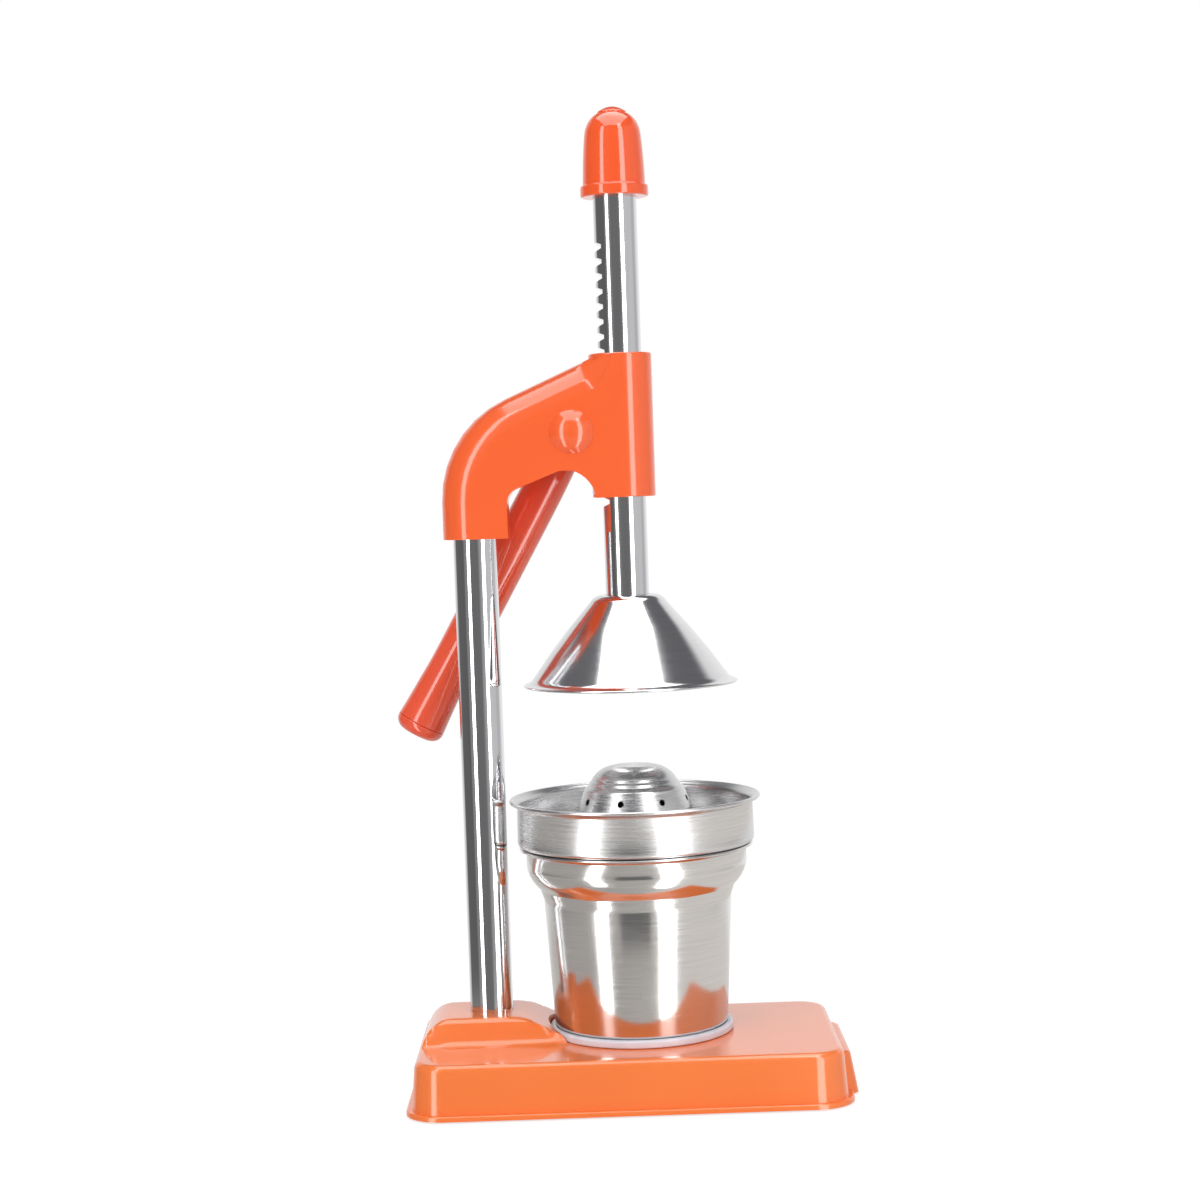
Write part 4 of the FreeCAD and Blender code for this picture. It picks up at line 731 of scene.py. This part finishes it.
# The camera sees white paper, which near the press still darkens a little in its shadow.
far_white = wire(tree, "Emission", {"Color": (1, 1, 1, 1), "Strength": 1.0})
near_white = wire(tree, "Emission", {"Color": (1, 1, 1, 1), "Strength": 0.68})
near_shadow = wire(tree, "BsdfDiffuse", {"Color": (0.48, 0.48, 0.48, 1)})
near_paper = wire(tree, "AddShader", {0: near_white, 1: near_shadow})
viewed = wire(tree, "MixShader", {0: near, 1: far_white, 2: near_paper})
out_shader = wire(tree, "MixShader", {0: seen.outputs["Is Camera Ray"], 1: plain_paper, 2: viewed})
surface = tree.nodes.new("ShaderNodeOutputMaterial")
tree.links.new(out_shader, surface.inputs["Surface"])
floor.data.materials.append(paper)
floor.visible_glossy = False

world = bpy.data.worlds.new("studio")
bpy.context.scene.world = world
world.use_nodes = True
tree = world.node_tree
tree.nodes.clear()
seen = tree.nodes.new("ShaderNodeLightPath")
way = wire(tree, "TexCoord", {}, out="Generated")
parts = tree.nodes.new("ShaderNodeSeparateXYZ")
tree.links.new(way, parts.inputs[0])
back = wire(tree, "Math", {0: parts.outputs["Y"], 1: -1.0}, operation="MULTIPLY")
bearing = wire(tree, "Math", {0: parts.outputs["X"], 1: back}, operation="ARCTAN2")


def ramp(value, stops, low, high):
    """A grey that follows stops of value and brightness between low and high."""
    scaled = wire(tree, "MapRange", {"Value": value, "From Min": low, "From Max": high})
    made = tree.nodes.new("ShaderNodeValToRGB")
    tree.links.new(scaled, made.inputs["Fac"])
    colours = made.color_ramp.elements
    while len(colours) < len(stops):
        colours.new(0.5)
    # All stops are placed before they are coloured, because placing one can change their order.
    for stop, (at, bright) in zip(colours, stops):
        stop.position = (at - low) / (high - low)
    for stop, (at, bright) in zip(colours, stops):
        stop.color = (bright, bright, bright, 1)
    return made.outputs["Color"]


# The room that metal reflects: walls by bearing, with the camera's side at 0 degrees and the right at 90,
# a dim band high up, and a warm table whose far edge looks lower straight in front.
bearing_degrees = wire(tree, "Math", {0: bearing, 1: 180 / math.pi}, operation="MULTIPLY")
around = ramp(bearing_degrees, [
    (-180, 0.95), (-145, 0.80), (-128, 0.55), (-121, 0.13), (-64, 0.12), (-59, 0.25), (-32, 0.25),
    (-24, 0.16), (14, 0.16), (21, 0.3), (44, 0.5), (48, 0.60), (90, 0.60), (95, 0.50), (112, 0.50),
    (124, 0.80), (150, 0.95), (180, 0.95)], -180, 180)
front = ramp(bearing_degrees, [(-40, 0), (-26, 0), (-22, 1), (13, 1), (17, 0), (40, 0)], -40, 40)
overhead = ramp(parts.outputs["Z"], [(-1, 0), (0.50, 0), (0.60, 1), (0.84, 1), (0.9, 0.3), (1, 0)], -1, 1)
lifted = wire(tree, "Math", {0: front, 1: 0.13}, operation="MULTIPLY")
height = wire(tree, "Math", {0: parts.outputs["Z"], 1: lifted}, operation="ADD")
below = wire(tree, "MapRange", {"Value": height, "From Min": -0.24, "From Max": -0.20,
                                "To Min": 1.0, "To Max": 0.0})
table = ramp(bearing_degrees, [
    (-180, 0.75), (-140, 0.6), (-110, 0.45), (-30, 0.48), (15, 0.55), (40, 0.76), (120, 0.78),
    (180, 0.75)], -180, 180)
warm_table = wire(tree, "VectorMath", {0: table, 1: (1.0, 0.955, 0.91)}, operation="MULTIPLY")
walls = tint(tree, overhead, around, (0.14, 0.14, 0.15))
mirrored = wire(tree, "Background", {"Color": tint(tree, below, walls, warm_table), "Strength": 1.0})
soft = wire(tree, "Background", {"Color": (1, 1, 1, 1), "Strength": 0.58})
white = wire(tree, "Background", {"Color": (1, 1, 1, 1), "Strength": 1.0})
by_gloss = wire(tree, "MixShader", {0: seen.outputs["Is Glossy Ray"], 1: soft, 2: mirrored})
through = wire(tree, "Math", {0: seen.outputs["Is Camera Ray"], 1: seen.outputs["Is Transmission Ray"]},
               operation="MAXIMUM")
all_ways = wire(tree, "MixShader", {0: through, 1: by_gloss, 2: white})
sky = tree.nodes.new("ShaderNodeOutputWorld")
tree.links.new(all_ways, sky.inputs["Surface"])


def softbox(name, place, aim, width, height, radiance, gloss):
    """An area lamp that shows only in reflections, or one that only lights matt surfaces."""
    lamp = bpy.data.lights.new(name, "AREA")
    lamp.shape = "RECTANGLE"
    lamp.size, lamp.size_y = width, height
    lamp.energy = radiance * width * height * math.pi
    made = bpy.data.objects.new(name, lamp)
    bpy.context.scene.collection.objects.link(made)
    made.location = place
    made.rotation_euler = (Vector(aim) - Vector(place)).to_track_quat("-Z", "Y").to_euler()
    made.visible_camera = False
    made.visible_transmission = False
    made.visible_glossy = gloss
    made.visible_diffuse = not gloss


STRIP_AIM, PRESS_MIDDLE = (-0.02, 0.004, 0.22), (0, 0, 0.2)
softbox("strip_left", (-0.221, -0.227, 0.22), STRIP_AIM, width=0.075, height=0.86, radiance=5, gloss=True)
softbox("strip_right", (0.133, -0.195, 0.22), STRIP_AIM, width=0.075, height=0.86, radiance=5, gloss=True)
softbox("overhead_box", (0.0, -0.13, 0.86), (0.0, -0.13, 0.3), width=0.70, height=0.74, radiance=3,
        gloss=True)
softbox("key_lamp", (-0.7, -1.1, 0.75), PRESS_MIDDLE, width=0.8, height=0.8, radiance=3.2, gloss=False)
softbox("fill_lamp", (0.9, -0.9, 0.55), PRESS_MIDDLE, width=0.8, height=0.8, radiance=2.1, gloss=False)
softbox("top_lamp", (0.0, -0.1, 1.3), PRESS_MIDDLE, width=1.0, height=1.0, radiance=0.9, gloss=False)


# Camera

CAMERA_PLACE = (-0.0057, -1.066, 0.2672)
CAMERA_TILT, CAMERA_ROLL = math.radians(87.12), math.radians(-1.95)
eye = bpy.data.cameras.new("viewpoint")
eye.lens = 73.38
eye.sensor_width = 36
camera = bpy.data.objects.new("viewpoint", eye)
bpy.context.scene.collection.objects.link(camera)
camera.matrix_world = Matrix.Translation(CAMERA_PLACE) @ turn(CAMERA_TILT, "X") @ turn(CAMERA_ROLL, "Z")
bpy.context.scene.camera = camera
bpy.context.scene.view_settings.view_transform = "Standard"
